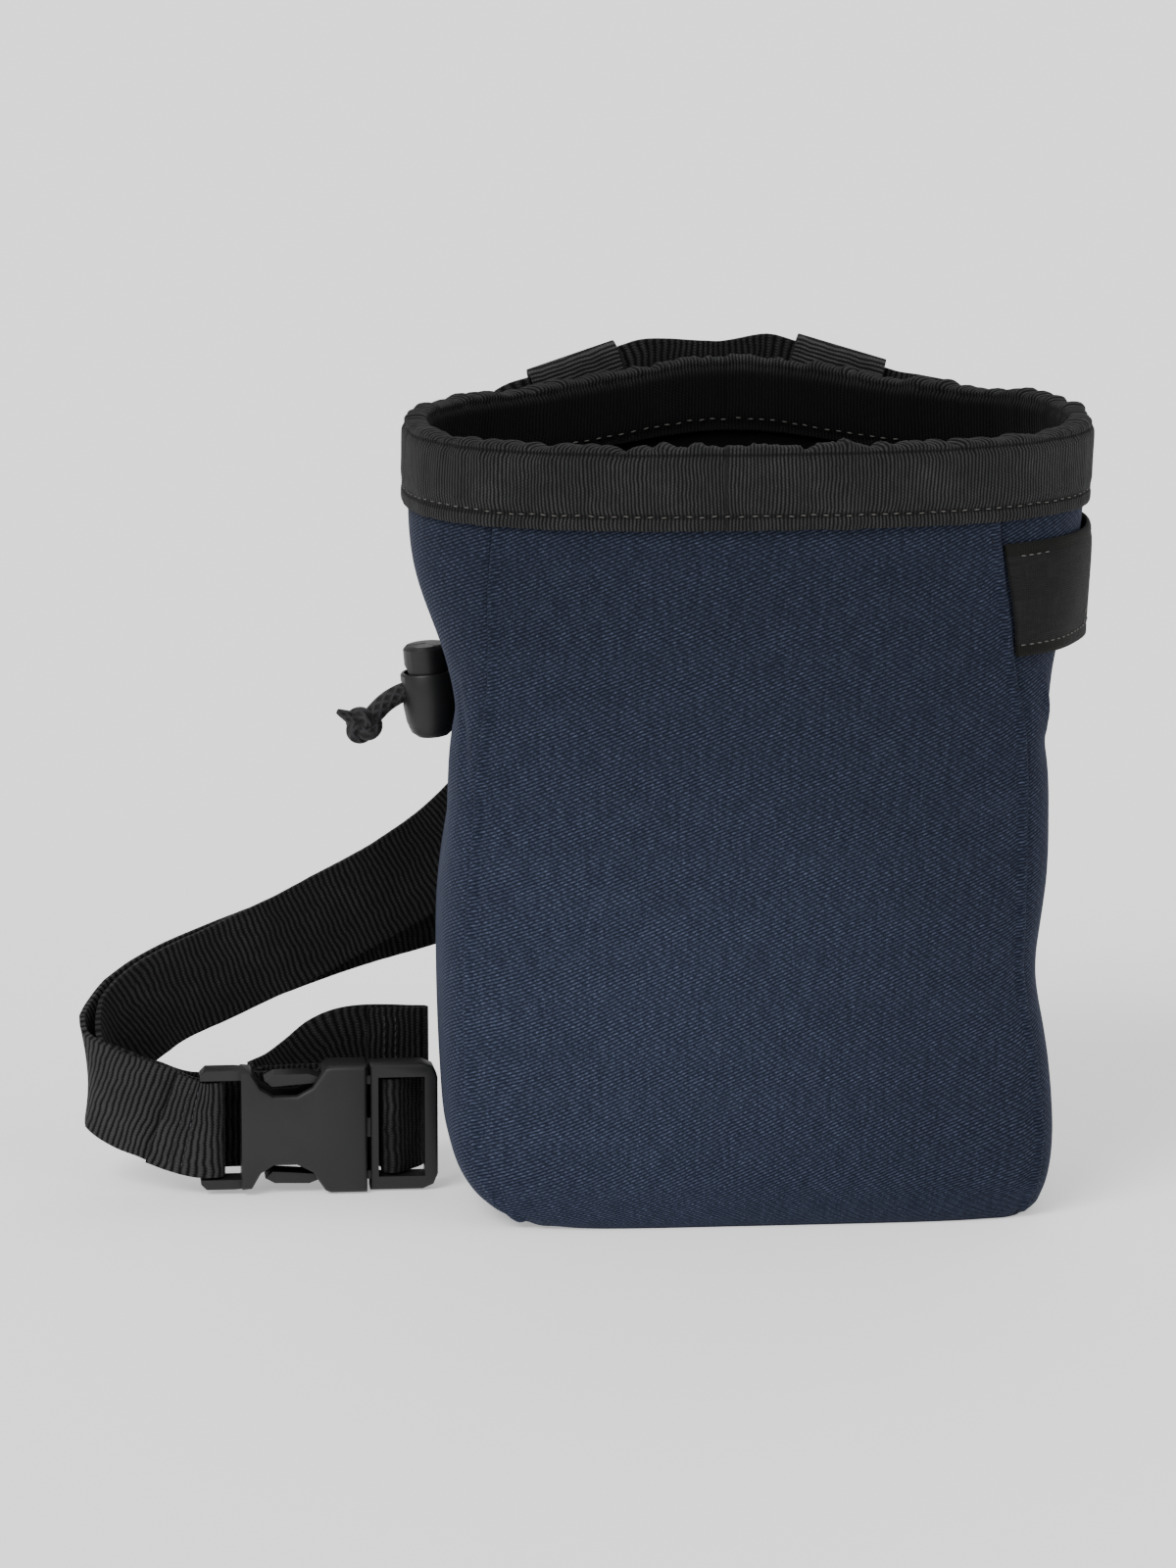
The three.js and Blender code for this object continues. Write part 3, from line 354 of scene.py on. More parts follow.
@dataclass(frozen=True)
class Ribbed:
    """Woven tape with ribs across its length: binding, webbing and loops."""

    name: str
    deep: Colour
    pale: Colour
    rib: float  # pitch of the ribs along the tape
    pick: float  # pitch of the finer yarns across them
    relief: float
    wear: float = 0.5
    pick_share: float = 0.35
    groove_at: float | None = None  # a sewn line, along the map's second axis, painted darker in its groove as shade
    fold_at: float | None = None  # a folded edge's line, painted darker under it as shade
    edge_at: float | None = None  # half width of the tape, where its edges are denser
    inner_shade: float = 1.0  # of the cloth beyond the map's second axis' zero
    painted_light_until: float | None = None  # along the tape, where the painted light of its front stretch ends and it grows darker, as in shade

    def material(self) -> bpy.types.Material:
        """Builds the finish."""
        graph = Graph(self.name, 0.88, 0.12)
        across, along = graph.cloth_axes()
        place = graph.joined(across, along)
        wander = graph.noise(graph.joined(graph.times(across, 0.6), along), 150, 3)
        ribs = graph.wave(graph.times_plus(wander, 1.3 * self.rib, across), self.rib)
        side = graph.math("ROUND", graph.math("DIVIDE", across, self.rib))
        shifted = graph.times_plus(side, 0.5 * self.pick, along)
        picks = graph.wave(shifted, self.pick)
        uneven = graph.noise(graph.joined(graph.times(across, 3.0), along), 330, 3, 0.6)
        worn = graph.ramp(graph.noise(place, 70, 4, 0.65), 0.4, 0.75)
        woven = graph.times(ribs, graph.times_plus(picks, self.pick_share, 1 - self.pick_share))
        tone = graph.times(woven, graph.times_plus(uneven, 0.8, 0.35))
        tone = graph.times(tone, graph.times_plus(worn, self.wear, 1.0))
        height = graph.times_plus(uneven, 0.35, woven)
        for at, half, deep in ((self.groove_at, 0.9 * MM, 3.0), (self.fold_at, 0.55 * MM, 2.2)):
            if at is not None:
                bend = graph.times_plus(graph.noise(place, 60, 1), 0.8 * MM, along)
                line = graph.band(graph.plus(bend, -0.4 * MM), at, half)
                height = graph.less(height, graph.times(line, deep))
                # Painted shade: the tone is darker along the sewn groove and under the folded edge.
                tone = graph.times(tone, graph.less(1.0, graph.times(line, 0.55)))
        if self.edge_at is not None:
            off = graph.less(self.edge_at, graph.math("ABSOLUTE", along))
            selvedge = graph.less(1.0, graph.ramp(off, 0.6 * MM, 1.6 * MM))
            height = graph.times_plus(selvedge, 0.5, height)
        if self.inner_shade < 1.0:
            inside = graph.ramp(along, 0.0, 5 * MM)
            tone = graph.times(tone, graph.times_plus(inside, self.inner_shade - 1.0, 1.0))
        # Painted light: the tape is lighter along its first stretch, out in front, and darker beyond, where
        # it runs into shade behind the bag.
        if self.painted_light_until is not None:
            painted_light = graph.less(1.0, graph.ramp(across, self.painted_light_until, self.painted_light_until + 25 * MM))
            tone = graph.times(tone, graph.times_plus(painted_light, 0.9, 0.85))
        graph.painted(graph.blended(tone, self.deep, self.pale))
        graph.raised(height, self.relief)
        graph.sheen(0.08, 0.4, srgb(150, 150, 152))
        return graph.material


@dataclass(frozen=True)
class PlainWeave:
    """Close plain-woven nylon with a folded edge tape along its two long edges."""

    name: str = "packcloth"
    deep: Colour = srgb(12, 12, 12)
    pale: Colour = srgb(38, 38, 38)
    tape: Colour = srgb(31, 31, 27)
    pitch: float = 0.55 * MM
    relief: float = 0.1 * MM
    height: float = 29 * MM
    tape_width: float = 3.1 * MM

    def material(self) -> bpy.types.Material:
        """Builds the finish."""
        graph = Graph(self.name, 0.85, 0.12)
        across, along = graph.cloth_axes()
        place = graph.joined(across, along)
        checks = graph.times(graph.wave(across, self.pitch), graph.wave(along, self.pitch))
        slub = graph.noise(graph.joined(graph.times(across, 0.25), along), 900, 2, 0.6)
        slub_up = graph.noise(graph.joined(across, graph.times(along, 0.25)), 900, 2, 0.6)
        tone = graph.plus(graph.times(checks, 0.35), graph.times(slub, slub_up))
        mottled = graph.noise(place, 120, 3, 0.6)
        tone = graph.times(tone, graph.times_plus(mottled, 0.8, 0.6))
        from_edge = graph.less(self.height / 2, graph.math("ABSOLUTE", along))
        taped = graph.math("LESS_THAN", from_edge, self.tape_width)
        ribs = graph.wave(across, 0.8 * MM)
        cloth = graph.blended(tone, self.deep, self.pale)
        taped_cloth = graph.blended(graph.times(ribs, mottled), self.deep, self.tape)
        graph.painted(graph.blended(taped, cloth, taped_cloth))
        height = graph.times_plus(taped, 4.0, graph.plus(checks, slub))
        graph.raised(height, self.relief)
        graph.sheen(0.08, 0.4, srgb(150, 150, 150))
        return graph.material


@dataclass(frozen=True)
class Thread:
    """Sewing thread."""

    name: str
    colour: Colour
    shade: Colour

    def material(self) -> bpy.types.Material:
        """Builds the finish."""
        graph = Graph(self.name, 0.7, 0.3)
        tone = graph.noise(graph.place(), 700, 2, 0.6)
        graph.painted(graph.blended(tone, self.shade, self.colour))
        graph.raised(graph.noise(graph.place(), 3000, 1), 0.05 * MM)
        return graph.material


@dataclass(frozen=True)
class Braid:
    """Braided round cord: two sets of strands that cross."""

    name: str = "braided_cord"
    deep: Colour = srgb(14, 14, 15)
    pale: Colour = srgb(52, 52, 54)
    girth: float = 5 * math.pi * MM
    strands: int = 6
    pitch: float = 7 * MM

    def material(self) -> bpy.types.Material:
        """Builds the finish."""
        graph = Graph(self.name, 0.75, 0.3)
        around, along = graph.cloth_axes()
        turn = graph.times(around, self.strands / self.girth)
        rise = graph.math("DIVIDE", along, self.pitch / 2)
        one = graph.wave(graph.plus(turn, rise), 1.0)
        other = graph.wave(graph.less(turn, rise), 1.0)
        braid = graph.math("MAXIMUM", one, other)
        fibres = graph.noise(graph.joined(around, along), 2200, 2, 0.6)
        tone = graph.times(graph.math("POWER", braid, 2.0), graph.times_plus(fibres, 0.7, 0.3))
        graph.painted(graph.blended(tone, self.deep, self.pale))
        graph.raised(graph.times_plus(fibres, 0.3, braid), 0.35 * MM)
        graph.sheen(0.15, 0.4, srgb(150, 150, 152))
        return graph.material


@dataclass(frozen=True)
class Moulded:
    """Satin moulded plastic with a fine spark finish."""

    name: str
    deep: Colour
    pale: Colour
    roughness: float = 0.42

    def material(self) -> bpy.types.Material:
        """Builds the finish."""
        graph = Graph(self.name, self.roughness, 0.4)
        place = graph.place()
        grain = graph.noise(place, 2600, 3, 0.6)
        flow = graph.noise(place, 60, 3, 0.55)
        graph.painted(graph.blended(graph.ramp(flow, 0.3, 0.75), self.deep, self.pale))
        graph.roughened(graph.times_plus(flow, 0.14, self.roughness - 0.07))
        graph.raised(grain, 0.03 * MM, 0.6)
        return graph.material


@dataclass(frozen=True)
class PaleFloor:
    """The plain pale studio floor."""

    name: str = "studio_floor"
    colour: Colour = srgb(245, 245, 245)
    glow: float = 0.4  # of its own light, as on a lit table

    def material(self) -> bpy.types.Material:
        """Builds the finish."""
        graph = Graph(self.name, 0.95, 0.0)
        graph.shader.inputs["Base Color"].default_value = (*self.colour, 1.0)
        graph.shader.inputs["Emission Color"].default_value = (1.0, 1.0, 1.0, 1.0)
        graph.shader.inputs["Emission Strength"].default_value = self.glow
        return graph.material


class Finish(Enum):
    """Every finish on the bag."""

    DENIM = Twill()
    FLEECE = Fleece()
    BINDING = Ribbed(
        "ribbed_binding", srgb(5, 5, 5), srgb(62, 62, 63), 0.92 * MM, 0.8 * MM, 0.34 * MM,
        pick_share=0.4, groove_at=-17.5 * MM, fold_at=-2.0 * MM, inner_shade=0.16,
    )
    WEBBING = Ribbed(
        "belt_webbing", srgb(6, 6, 6), srgb(56, 56, 57), 1.5 * MM, 0.75 * MM, 0.28 * MM,
        pick_share=0.5, edge_at=12.5 * MM, painted_light_until=70 * MM,
    )
    LOOP = Ribbed(
        "loop_webbing", srgb(12, 12, 12), srgb(74, 74, 75), 1.1 * MM, 0.8 * MM, 0.26 * MM, edge_at=12 * MM
    )
    PACKCLOTH = PlainWeave()
    PALE_THREAD = Thread("pale_thread", srgb(98, 96, 92), srgb(58, 57, 54))
    DARK_THREAD = Thread("dark_thread", srgb(13, 14, 20), srgb(6, 7, 11))
    BLACK_THREAD = Thread("black_thread", srgb(58, 58, 60), srgb(28, 28, 30))
    CORD = Braid()
    BUCKLE = Moulded("buckle_plastic", srgb(20, 20, 21), srgb(27, 27, 28), 0.48)
    LOCK = Moulded("lock_plastic", srgb(9, 9, 10), srgb(16, 16, 17), 0.47)


class Wardrobe:
    """Builds each finish once and hands it out."""

    def __init__(self) -> None:
        """Starts with nothing built."""
        self.built: dict[Finish, bpy.types.Material] = {}

    def take(self, finish: Finish) -> bpy.types.Material:
        """The finish's material."""
        if finish not in self.built:
            self.built[finish] = finish.value.material()
        return self.built[finish]


# Shapes


def hump(off: float, half: float) -> float:
    """A smooth hump: 1 where off is 0, and 0.37 where it is half."""
    return math.exp(-((off / half) ** 2))


def welded_copy(*nodes: str) -> bmesh.types.BMesh:
    """A merged copy of one or more CAD nodes' meshes."""
    shape = bmesh.new()
    for node in nodes:
        shape.from_mesh(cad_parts[node].data)
    bmesh.ops.remove_doubles(shape, verts=shape.verts, dist=0.02 * MM)
    shape.normal_update()
    return shape


def quads(shape: bmesh.types.BMesh) -> None:
    """Turns pairs of triangles back into the quads that they were cut from."""
    bmesh.ops.join_triangles(
        shape,
        faces=shape.faces,
        angle_face_threshold=math.radians(60),
        angle_shape_threshold=math.radians(80),
    )


def smooth_side(shape: bmesh.types.BMesh, towards: Vector, limit_deg: float = 55) -> list[bmesh.types.BMFace]:
    """The faces that join smoothly to the one that is farthest in a direction.

    Args:
        shape: A closed shape with hard edges round its sides.
        towards: The direction.
        limit_deg: The largest turn between faces that still counts as smooth.

    Returns:
        The faces.
    """
    shape.normal_update()
    seed = max(shape.faces, key=lambda f: f.calc_center_median().dot(towards) + 0.004 * f.normal.dot(towards))
    found, open_faces = {seed}, [seed]
    limit = math.radians(limit_deg)
    while open_faces:
        face = open_faces.pop()
        for edge in face.edges:
            if len(edge.link_faces) == 2 and edge.calc_face_angle(math.pi) < limit:
                for other in edge.link_faces:
                    if other not in found:
                        found.add(other)
                        open_faces.append(other)
    return list(found)


def outer_sheet(node: str, towards: Vector) -> bmesh.types.BMesh:
    """The outer face of a CAD cloth node as an open sheet of quads."""
    shape = welded_copy(node)
    keep = set(smooth_side(shape, towards))
    bmesh.ops.delete(shape, geom=[f for f in shape.faces if f not in keep], context="FACES")
    quads(shape)
    return shape


def as_object(shape: bmesh.types.BMesh, name: str, *materials: bpy.types.Material) -> bpy.types.Object:
    """Makes a smooth-shaded object of a shape, and frees the shape."""
    mesh = bpy.data.meshes.new(name)
    shape.to_mesh(mesh)
    shape.free()
    mesh.polygons.foreach_set("use_smooth", [True] * len(mesh.polygons))
    for material in materials:
        mesh.materials.append(material)
    piece = bpy.data.objects.new(name, mesh)
    bpy.context.scene.collection.objects.link(piece)
    return piece


def refined(shape: bmesh.types.BMesh, levels: int) -> bmesh.types.BMesh:
    """A smooth subdivision of a shape.

    Args:
        shape: The coarse shape, which is freed.
        levels: How many times each face is cut.

    Returns:
        The fine shape.
    """
    coarse = as_object(shape, "coarse")
    cut = coarse.modifiers.new("cut", "SUBSURF")
    cut.levels = cut.render_levels = levels
    cut.boundary_smooth = "PRESERVE_CORNERS"
    fine = bmesh.new()
    fine.from_object(coarse, bpy.context.evaluated_depsgraph_get())
    mesh = coarse.data
    bpy.data.objects.remove(coarse)
    bpy.data.meshes.remove(mesh)
    fine.normal_update()
    return fine


def thickened(piece: bpy.types.Object, wall: float, offset: float, inner: int = 0) -> None:
    """Gives a sheet its wall.

    Args:
        piece: The sheet.
        wall: The wall's thickness.
        offset: -1 puts it behind the sheet, 1 in front, and 0 both ways.
        inner: How much later in the list the hidden face's material is.
    """
    solid = piece.modifiers.new("wall", "SOLIDIFY")
    solid.thickness = wall
    solid.offset = offset
    solid.use_even_offset = True
    solid.material_offset = inner


def softened(
    piece: bpy.types.Object, width: float, segments: int = 2, corner_deg: float = 50
) -> bpy.types.BevelModifier:
    """Rounds a piece's sharp edges.

    Args:
        piece: The piece.
        width: How far the rounding reaches.
        segments: How many faces it has.
        corner_deg: Turns sharper than this are rounded.

    Returns:
        The modifier.
    """
    bevel = piece.modifiers.new("soft_edges", "BEVEL")
    bevel.width, bevel.segments, bevel.limit_method = width, segments, "ANGLE"
    bevel.angle_limit = math.radians(corner_deg)
    return bevel


def face_outwards(shape: bmesh.types.BMesh, centre: Callable[[Vector], Vector]) -> None:
    """Turns an open sheet over where its faces point towards a middle line."""
    score = sum(f.normal.dot(f.calc_center_median() - centre(f.calc_center_median())) for f in shape.faces)
    if score < 0:
        bmesh.ops.reverse_faces(shape, faces=shape.faces)
    shape.normal_update()


@dataclass
class Girth:
    """The way round the bag, by angle from the front: arc length, radius and height of a ring of points."""

    angles: list[float]
    lengths: list[float]
    radii: list[float]
    heights: list[float]

    @staticmethod
    def angle_of(point: Vector) -> float:
        """A point's angle from the front, positive towards +X."""
        return math.atan2(point.x, -point.y)

    @classmethod
    def through(cls, points: Iterable[Vector], closed: bool = True) -> "Girth":
        """Reads the way round from a ring of points.

        Args:
            points: The ring's points in any order.
            closed: False where the points are part of a ring and their ends don't meet.

        Returns:
            The way round.
        """
        ring = sorted(points, key=cls.angle_of)
        angles = [cls.angle_of(p) for p in ring]
        if closed:
            angles = [angles[-1] - math.tau, *angles, angles[0] + math.tau]
            ring = [ring[-1], *ring, ring[0]]
        lengths = [-(ring[1].xy - ring[0].xy).length if closed else 0.0]
        for a, b in zip(ring, ring[1:]):
            lengths.append(lengths[-1] + (b.xy - a.xy).length)
        return cls(angles, lengths, [p.xy.length for p in ring], [p.z for p in ring])

    def at(self, values: Sequence[float], angle: float) -> float:
        """One of the lists, read between its points at an angle."""
        i = min(max(bisect.bisect_left(self.angles, angle), 1), len(self.angles) - 1)
        low, high = self.angles[i - 1], self.angles[i]
        share = min(max((angle - low) / max(high - low, 1e-9), 0.0), 1.0)
        return values[i - 1] + (values[i] - values[i - 1]) * share

    def length_at(self, point: Vector) -> float:
        """Arc length to a point's angle."""
        return self.at(self.lengths, self.angle_of(point))

    def radius_at(self, point: Vector) -> float:
        """Radius at a point's angle."""
        return self.at(self.radii, self.angle_of(point))

    def height_at(self, point: Vector) -> float:
        """Height at a point's angle."""
        return self.at(self.heights, self.angle_of(point))


def unwrapped(
    shape: bmesh.types.BMesh, where: Callable[[Vector], tuple[float, float]], whole: float = 0.0
) -> None:
    """Writes the cloth map.

    Args:
        shape: The shape.
        where: Gives a point's place on the cloth in metres.
        whole: The way right round, for a shape that closes on itself.
    """
    layer = shape.loops.layers.uv.get(CLOTH_MAP) or shape.loops.layers.uv.new(CLOTH_MAP)
    for face in shape.faces:
        places = [where(loop.vert.co) for loop in face.loops]
        least, most = min(p[0] for p in places), max(p[0] for p in places)
        turned = whole > 0 and most - least > whole / 2
        for loop, (across, along) in zip(face.loops, places):
            loop[layer].uv = (across + whole if turned and across < whole / 2 else across, along)


@dataclass
class StitchRow:
    """A row of sewn stitches that lies on a piece."""

    name: str
    finish: Finish
    length: float = 2.0 * MM
    pitch: float = 2.9 * MM
    thick: float = 0.45 * MM
    sink: float = 0.1 * MM
    unevenness: float = 0.22
    shapes: list[tuple[Vector, Vector, Vector]] = field(default_factory=list)

    def follow(self, line: Sequence[Vector], onto: BVHTree, outward: Callable[[Vector], Vector]) -> None:
        """Places stitches along a line.

        Args:
            line: The row's points.
            onto: The surface that they are moved to.
            outward: Gives the direction away from the cloth.
        """
        travelled, due = 0.0, self.pitch / 2
        for a, b in zip(line, line[1:]):
            span = (b - a).length
            while span > 0 and due <= travelled + span:
                away = a.lerp(b, (due - travelled) / span)
                point, face_normal, _, _ = onto.find_nearest(away)
                normal = face_normal if face_normal.dot(outward(away)) > 0 else -face_normal
                along = (b - a).normalized()
                along = (along - normal * along.dot(normal)).normalized()
                jitter = noise.noise(point * 900)
                along = (along + normal.cross(along) * self.unevenness * jitter).normalized()
                self.shapes.append((point + normal * (self.thick / 2 - self.sink), along, normal))
                due += self.pitch * (1 + self.unevenness * jitter)
            travelled += span

    def build(self, wardrobe: Wardrobe) -> bpy.types.Object:
        """Builds every stitch of the row as one piece."""
        shape = bmesh.new()
        for middle, along, normal in self.shapes:
            side = normal.cross(along)
            turn = Matrix((along, side, normal)).transposed().to_4x4()
            size = Matrix.Diagonal((self.length / 2, self.thick / 2, self.thick / 2, 1.0))
            bmesh.ops.create_uvsphere(
                shape, u_segments=6, v_segments=5, radius=1.0, matrix=Matrix.Translation(middle) @ turn @ size
            )
        piece = as_object(shape, self.name, wardrobe.take(self.finish))
        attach(piece, BAG_BODY)
        return piece


def surface_of(piece: bpy.types.Object) -> BVHTree:
    """A finished piece's surface, to lay other things on."""
    return BVHTree.FromObject(piece, bpy.context.evaluated_depsgraph_get())


# The cloth body


@dataclass
class Crease:
    """A hollow pressed into the cloth along a line, or a fold raised from it where its depth is negative.

    Its ends are places on the cloth map in mm: the way round from the front's middle, and the height.
    """

    start: tuple[float, float]
    end: tuple[float, float]
    width: float
    depth: float

    END_SHARE: ClassVar[float] = 0.08  # of the length, where it stops growing shallower
    END_DEPTH: ClassVar[float] = 0.35  # of the full depth, before the swell towards the middle

    def depth_at(self, around: float, height: float) -> float:
        """How far the cloth goes in at a place on the cloth map, in metres."""
        a, b = Vector(self.start) * MM, Vector(self.end) * MM
        p = Vector((around, height))
        share = min(max((p - a).dot(b - a) / (b - a).length_squared, 0.0), 1.0)
        off = (p - a.lerp(b, share)).length
        swell = math.sin(math.pi * min(max(share, self.END_SHARE), 1 - self.END_SHARE))
        return self.depth * MM * hump(off, self.width * MM) * (self.END_DEPTH + (1 - self.END_DEPTH) * swell)


@dataclass
class ClothBody:
    """The bag's denim panels and flat bottom, with their lapped and topstitched seams."""

    wall: float = 2.0 * MM
    curve_rise: float = 22 * MM
    lap_width: float = 2.1 * MM  # from a front or back panel's edge to its row of stitches
    lap_lift: float = 0.95 * MM
    lap_slope: float = 2.2 * MM
    groove_depth: float = 0.5 * MM  # of the line that the stitches pull in
    groove_half: float = 0.75 * MM
    swell: float = 0.35 * MM  # of the cloth just beyond the lap
    swell_at: float = 6 * MM
    swell_half: float = 3 * MM
    tuck_depth: float = 0.5 * MM  # of the lower cloth at a seam
    tuck_reach: float = 1.6 * MM
    ripple: float = 0.55 * MM
    still_edge: float = 30 * MM  # from the bottom and the mouth, where the ripples begin
    seam_pucker: float = 0.44 * MM
    pucker_reach: float = 5 * MM
    levels: int = 3
    under_rim: float = 196 * MM  # height at which the seams go under the binding
    creases: tuple[Crease, ...] = (
        Crease((78, 122), (104, 138), 6, 1.6),  # right side
        Crease((74, 141), (79, 128), 1.6, -0.9),
        Crease((-84, 128), (-112, 140), 7, 1.2),  # left side
        Crease((-76, 112), (-84, 141), 2.2, 0.8),
        Crease((-70, 45), (-58, 40), 3.2, 0.9),  # puckers by the left seam
        Crease((-66, 30), (-50, 26), 3.5, 0.9),
        Crease((-69, 62), (-60, 60), 3.0, 0.6),
    )

    def __post_init__(self) -> None:
        """Reads the way round from the panels' outer faces."""
        self.pieces: dict[str, bpy.types.Object] = {}
        self.seams: dict[str, list[list[Vector]]] = {}
        self.sheets = {
            "front_panel": outer_sheet("front_panel", Vector((0, -1, 0))),
            "back_panel": outer_sheet("back_panel", Vector((0, 1, 0))),
            "side_panel_left": outer_sheet("side_panel_left", Vector((-1, 0, 0))),
            "side_panel_right": outer_sheet("side_panel_right", Vector((1, 0, 0))),
        }
        ring = [
            v.co.copy()
            for sheet in self.sheets.values()
            for v in sheet.verts
            if abs(v.co.z - 0.1) < 8 * MM
        ]
        self.girth = Girth.through(ring)

    def middle(self, point: Vector) -> Vector:
        """The bag's middle line beside a point, which stays above the bottom curve."""
        return Vector((point.x * 0.3, point.y * 0.3, max(point.z, self.curve_rise * 1.3)))

    def place_on_cloth(self, point: Vector) -> tuple[float, float]:
        """A point's place on the flat cloth."""
        height = point.z
        if height < self.curve_rise:
            share = min((self.curve_rise - height) / self.curve_rise, 1.0)
            height = self.curve_rise * (1 - math.asin(share))
        return self.girth.length_at(point), height

    def moved(self, shape: bmesh.types.BMesh, lapped: bool) -> None:
        """Lays folds, puckers and the seams' laps into a fine sheet.

        Args:
            shape: The sheet.
            lapped: True for a panel that lies over its neighbours at its seams.
        """
        seam_points = [v.co.copy() for v in shape.verts if v.is_boundary and 2.5 * MM < v.co.z < 0.2]
        tree = None
        if seam_points:
            tree = KDTree(len(seam_points))
            for i, point in enumerate(seam_points):
                tree.insert(point, i)
            tree.balance()
        top = max(v.co.z for v in shape.verts)
        front = self.girth.at(self.girth.lengths, 0.0)
        for vert in shape.verts:
            point, normal = vert.co.copy(), vert.normal.copy()
            far = tree.find(point)[2] if tree else 1.0
            across, along = self.place_on_cloth(point)
            broad = noise.noise(Vector((across * 18, along * 9, 3.1)))
            small = noise.noise(Vector((across * 45, along * 20, 7.7)))
            fade = min(1.0, point.z / self.still_edge)
            fade *= min(1.0, max(0.0, (top - point.z) / self.still_edge))
            out = self.ripple * (broad + 0.3 * small) * fade
            pucker = noise.noise(Vector((along * 260, across * 30, 1.3)))
            out += self.seam_pucker * pucker * math.exp(-far / self.pucker_reach)
            if lapped:
                rise = 1 - min(1.0, max(0.0, (far - self.lap_width * 0.6) / self.lap_slope))
                out += self.lap_lift * rise * rise * (3 - 2 * rise)
                out -= self.groove_depth * hump(far - self.lap_width, self.groove_half)
                out += self.swell * hump(far - self.swell_at, self.swell_half)
            else:
                out -= self.tuck_depth * math.exp(-far / self.tuck_reach)
            out -= sum(crease.depth_at(across - front, along) for crease in self.creases)
            vert.co = point + normal * out
        shape.normal_update()

    def build(self, wardrobe: Wardrobe) -> None:
        """Builds the four panels and the bottom."""
        for node, sheet in self.sheets.items():
            face_outwards(sheet, self.middle)
            fine = refined(sheet, self.levels)
            self.seams[node] = self.seam_lines(fine)
            self.moved(fine, node in ("front_panel", "back_panel"))
            unwrapped(fine, self.place_on_cloth, self.girth.lengths[-1])
            piece = as_object(
                fine, node + "_cloth", wardrobe.take(Finish.DENIM), wardrobe.take(Finish.FLEECE)
            )
            thickened(piece, self.wall - 0.2 * MM, -1.0, inner=1)
            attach(piece, BAG_BODY)
            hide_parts(node)
            self.pieces[node] = piece
        self.build_bottom(wardrobe)

    def seam_lines(self, fine: bmesh.types.BMesh) -> list[list[Vector]]:
        """A panel's two upright borders, from the bottom up."""
        border = [v.co.copy() for v in fine.verts if v.is_boundary and 1 * MM < v.co.z]
        angles = [Girth.angle_of(p) for p in border]
        centre = sum((Vector((math.sin(a), math.cos(a))) for a in angles), Vector((0, 0)))
        middle = math.atan2(centre.x, centre.y)
        lines: list[list[Vector]] = [[], []]
        for point, angle in zip(border, angles):
            off = math.atan2(math.sin(angle - middle), math.cos(angle - middle))
            lines[0 if off < 0 else 1].append(point)
        return [sorted((p for p in line if p.z < self.under_rim), key=lambda p: p.z) for line in lines]

    def build_bottom(self, wardrobe: Wardrobe) -> None:
        """Builds the flat bottom."""
        shape = welded_copy("base_panel")
        bmesh.ops.dissolve_limit(
            shape, angle_limit=math.radians(2), verts=shape.verts, edges=shape.edges
        )
        bmesh.ops.recalc_face_normals(shape, faces=shape.faces)
        unwrapped(shape, lambda p: (p.x, p.y))
        for face in shape.faces:
            face.material_index = 1 if face.normal.z > 0.5 else 0
        denim, fleece = wardrobe.take(Finish.DENIM), wardrobe.take(Finish.FLEECE)
        piece = as_object(shape, "base_panel_cloth", denim, fleece)
        for polygon in piece.data.polygons:
            polygon.use_smooth = False
        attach(piece, BAG_BODY)
        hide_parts("base_panel")
        self.pieces["base_panel"] = piece

    def stitch(self, wardrobe: Wardrobe) -> None:
        """Sews a row beside each upright seam of the front and back panels."""
        row = StitchRow("panel_topstitching", Finish.DARK_THREAD, 1.9 * MM, 2.8 * MM, 0.42 * MM, 0.12 * MM)
        for node in ("front_panel", "back_panel"):
            surface = surface_of(self.pieces[node])
            left, right = self.seams[node]
            for line, other in ((left, right), (right, left)):
                inset = []
                for point in line:
                    towards = min(other, key=lambda q: abs(q.z - point.z)) - point
                    towards.z = 0
                    inset.append(point + towards.normalized() * self.lap_width)
                row.follow(inset[::3], surface, lambda p: p - self.middle(p))
        piece = row.build(wardrobe)


# The rim


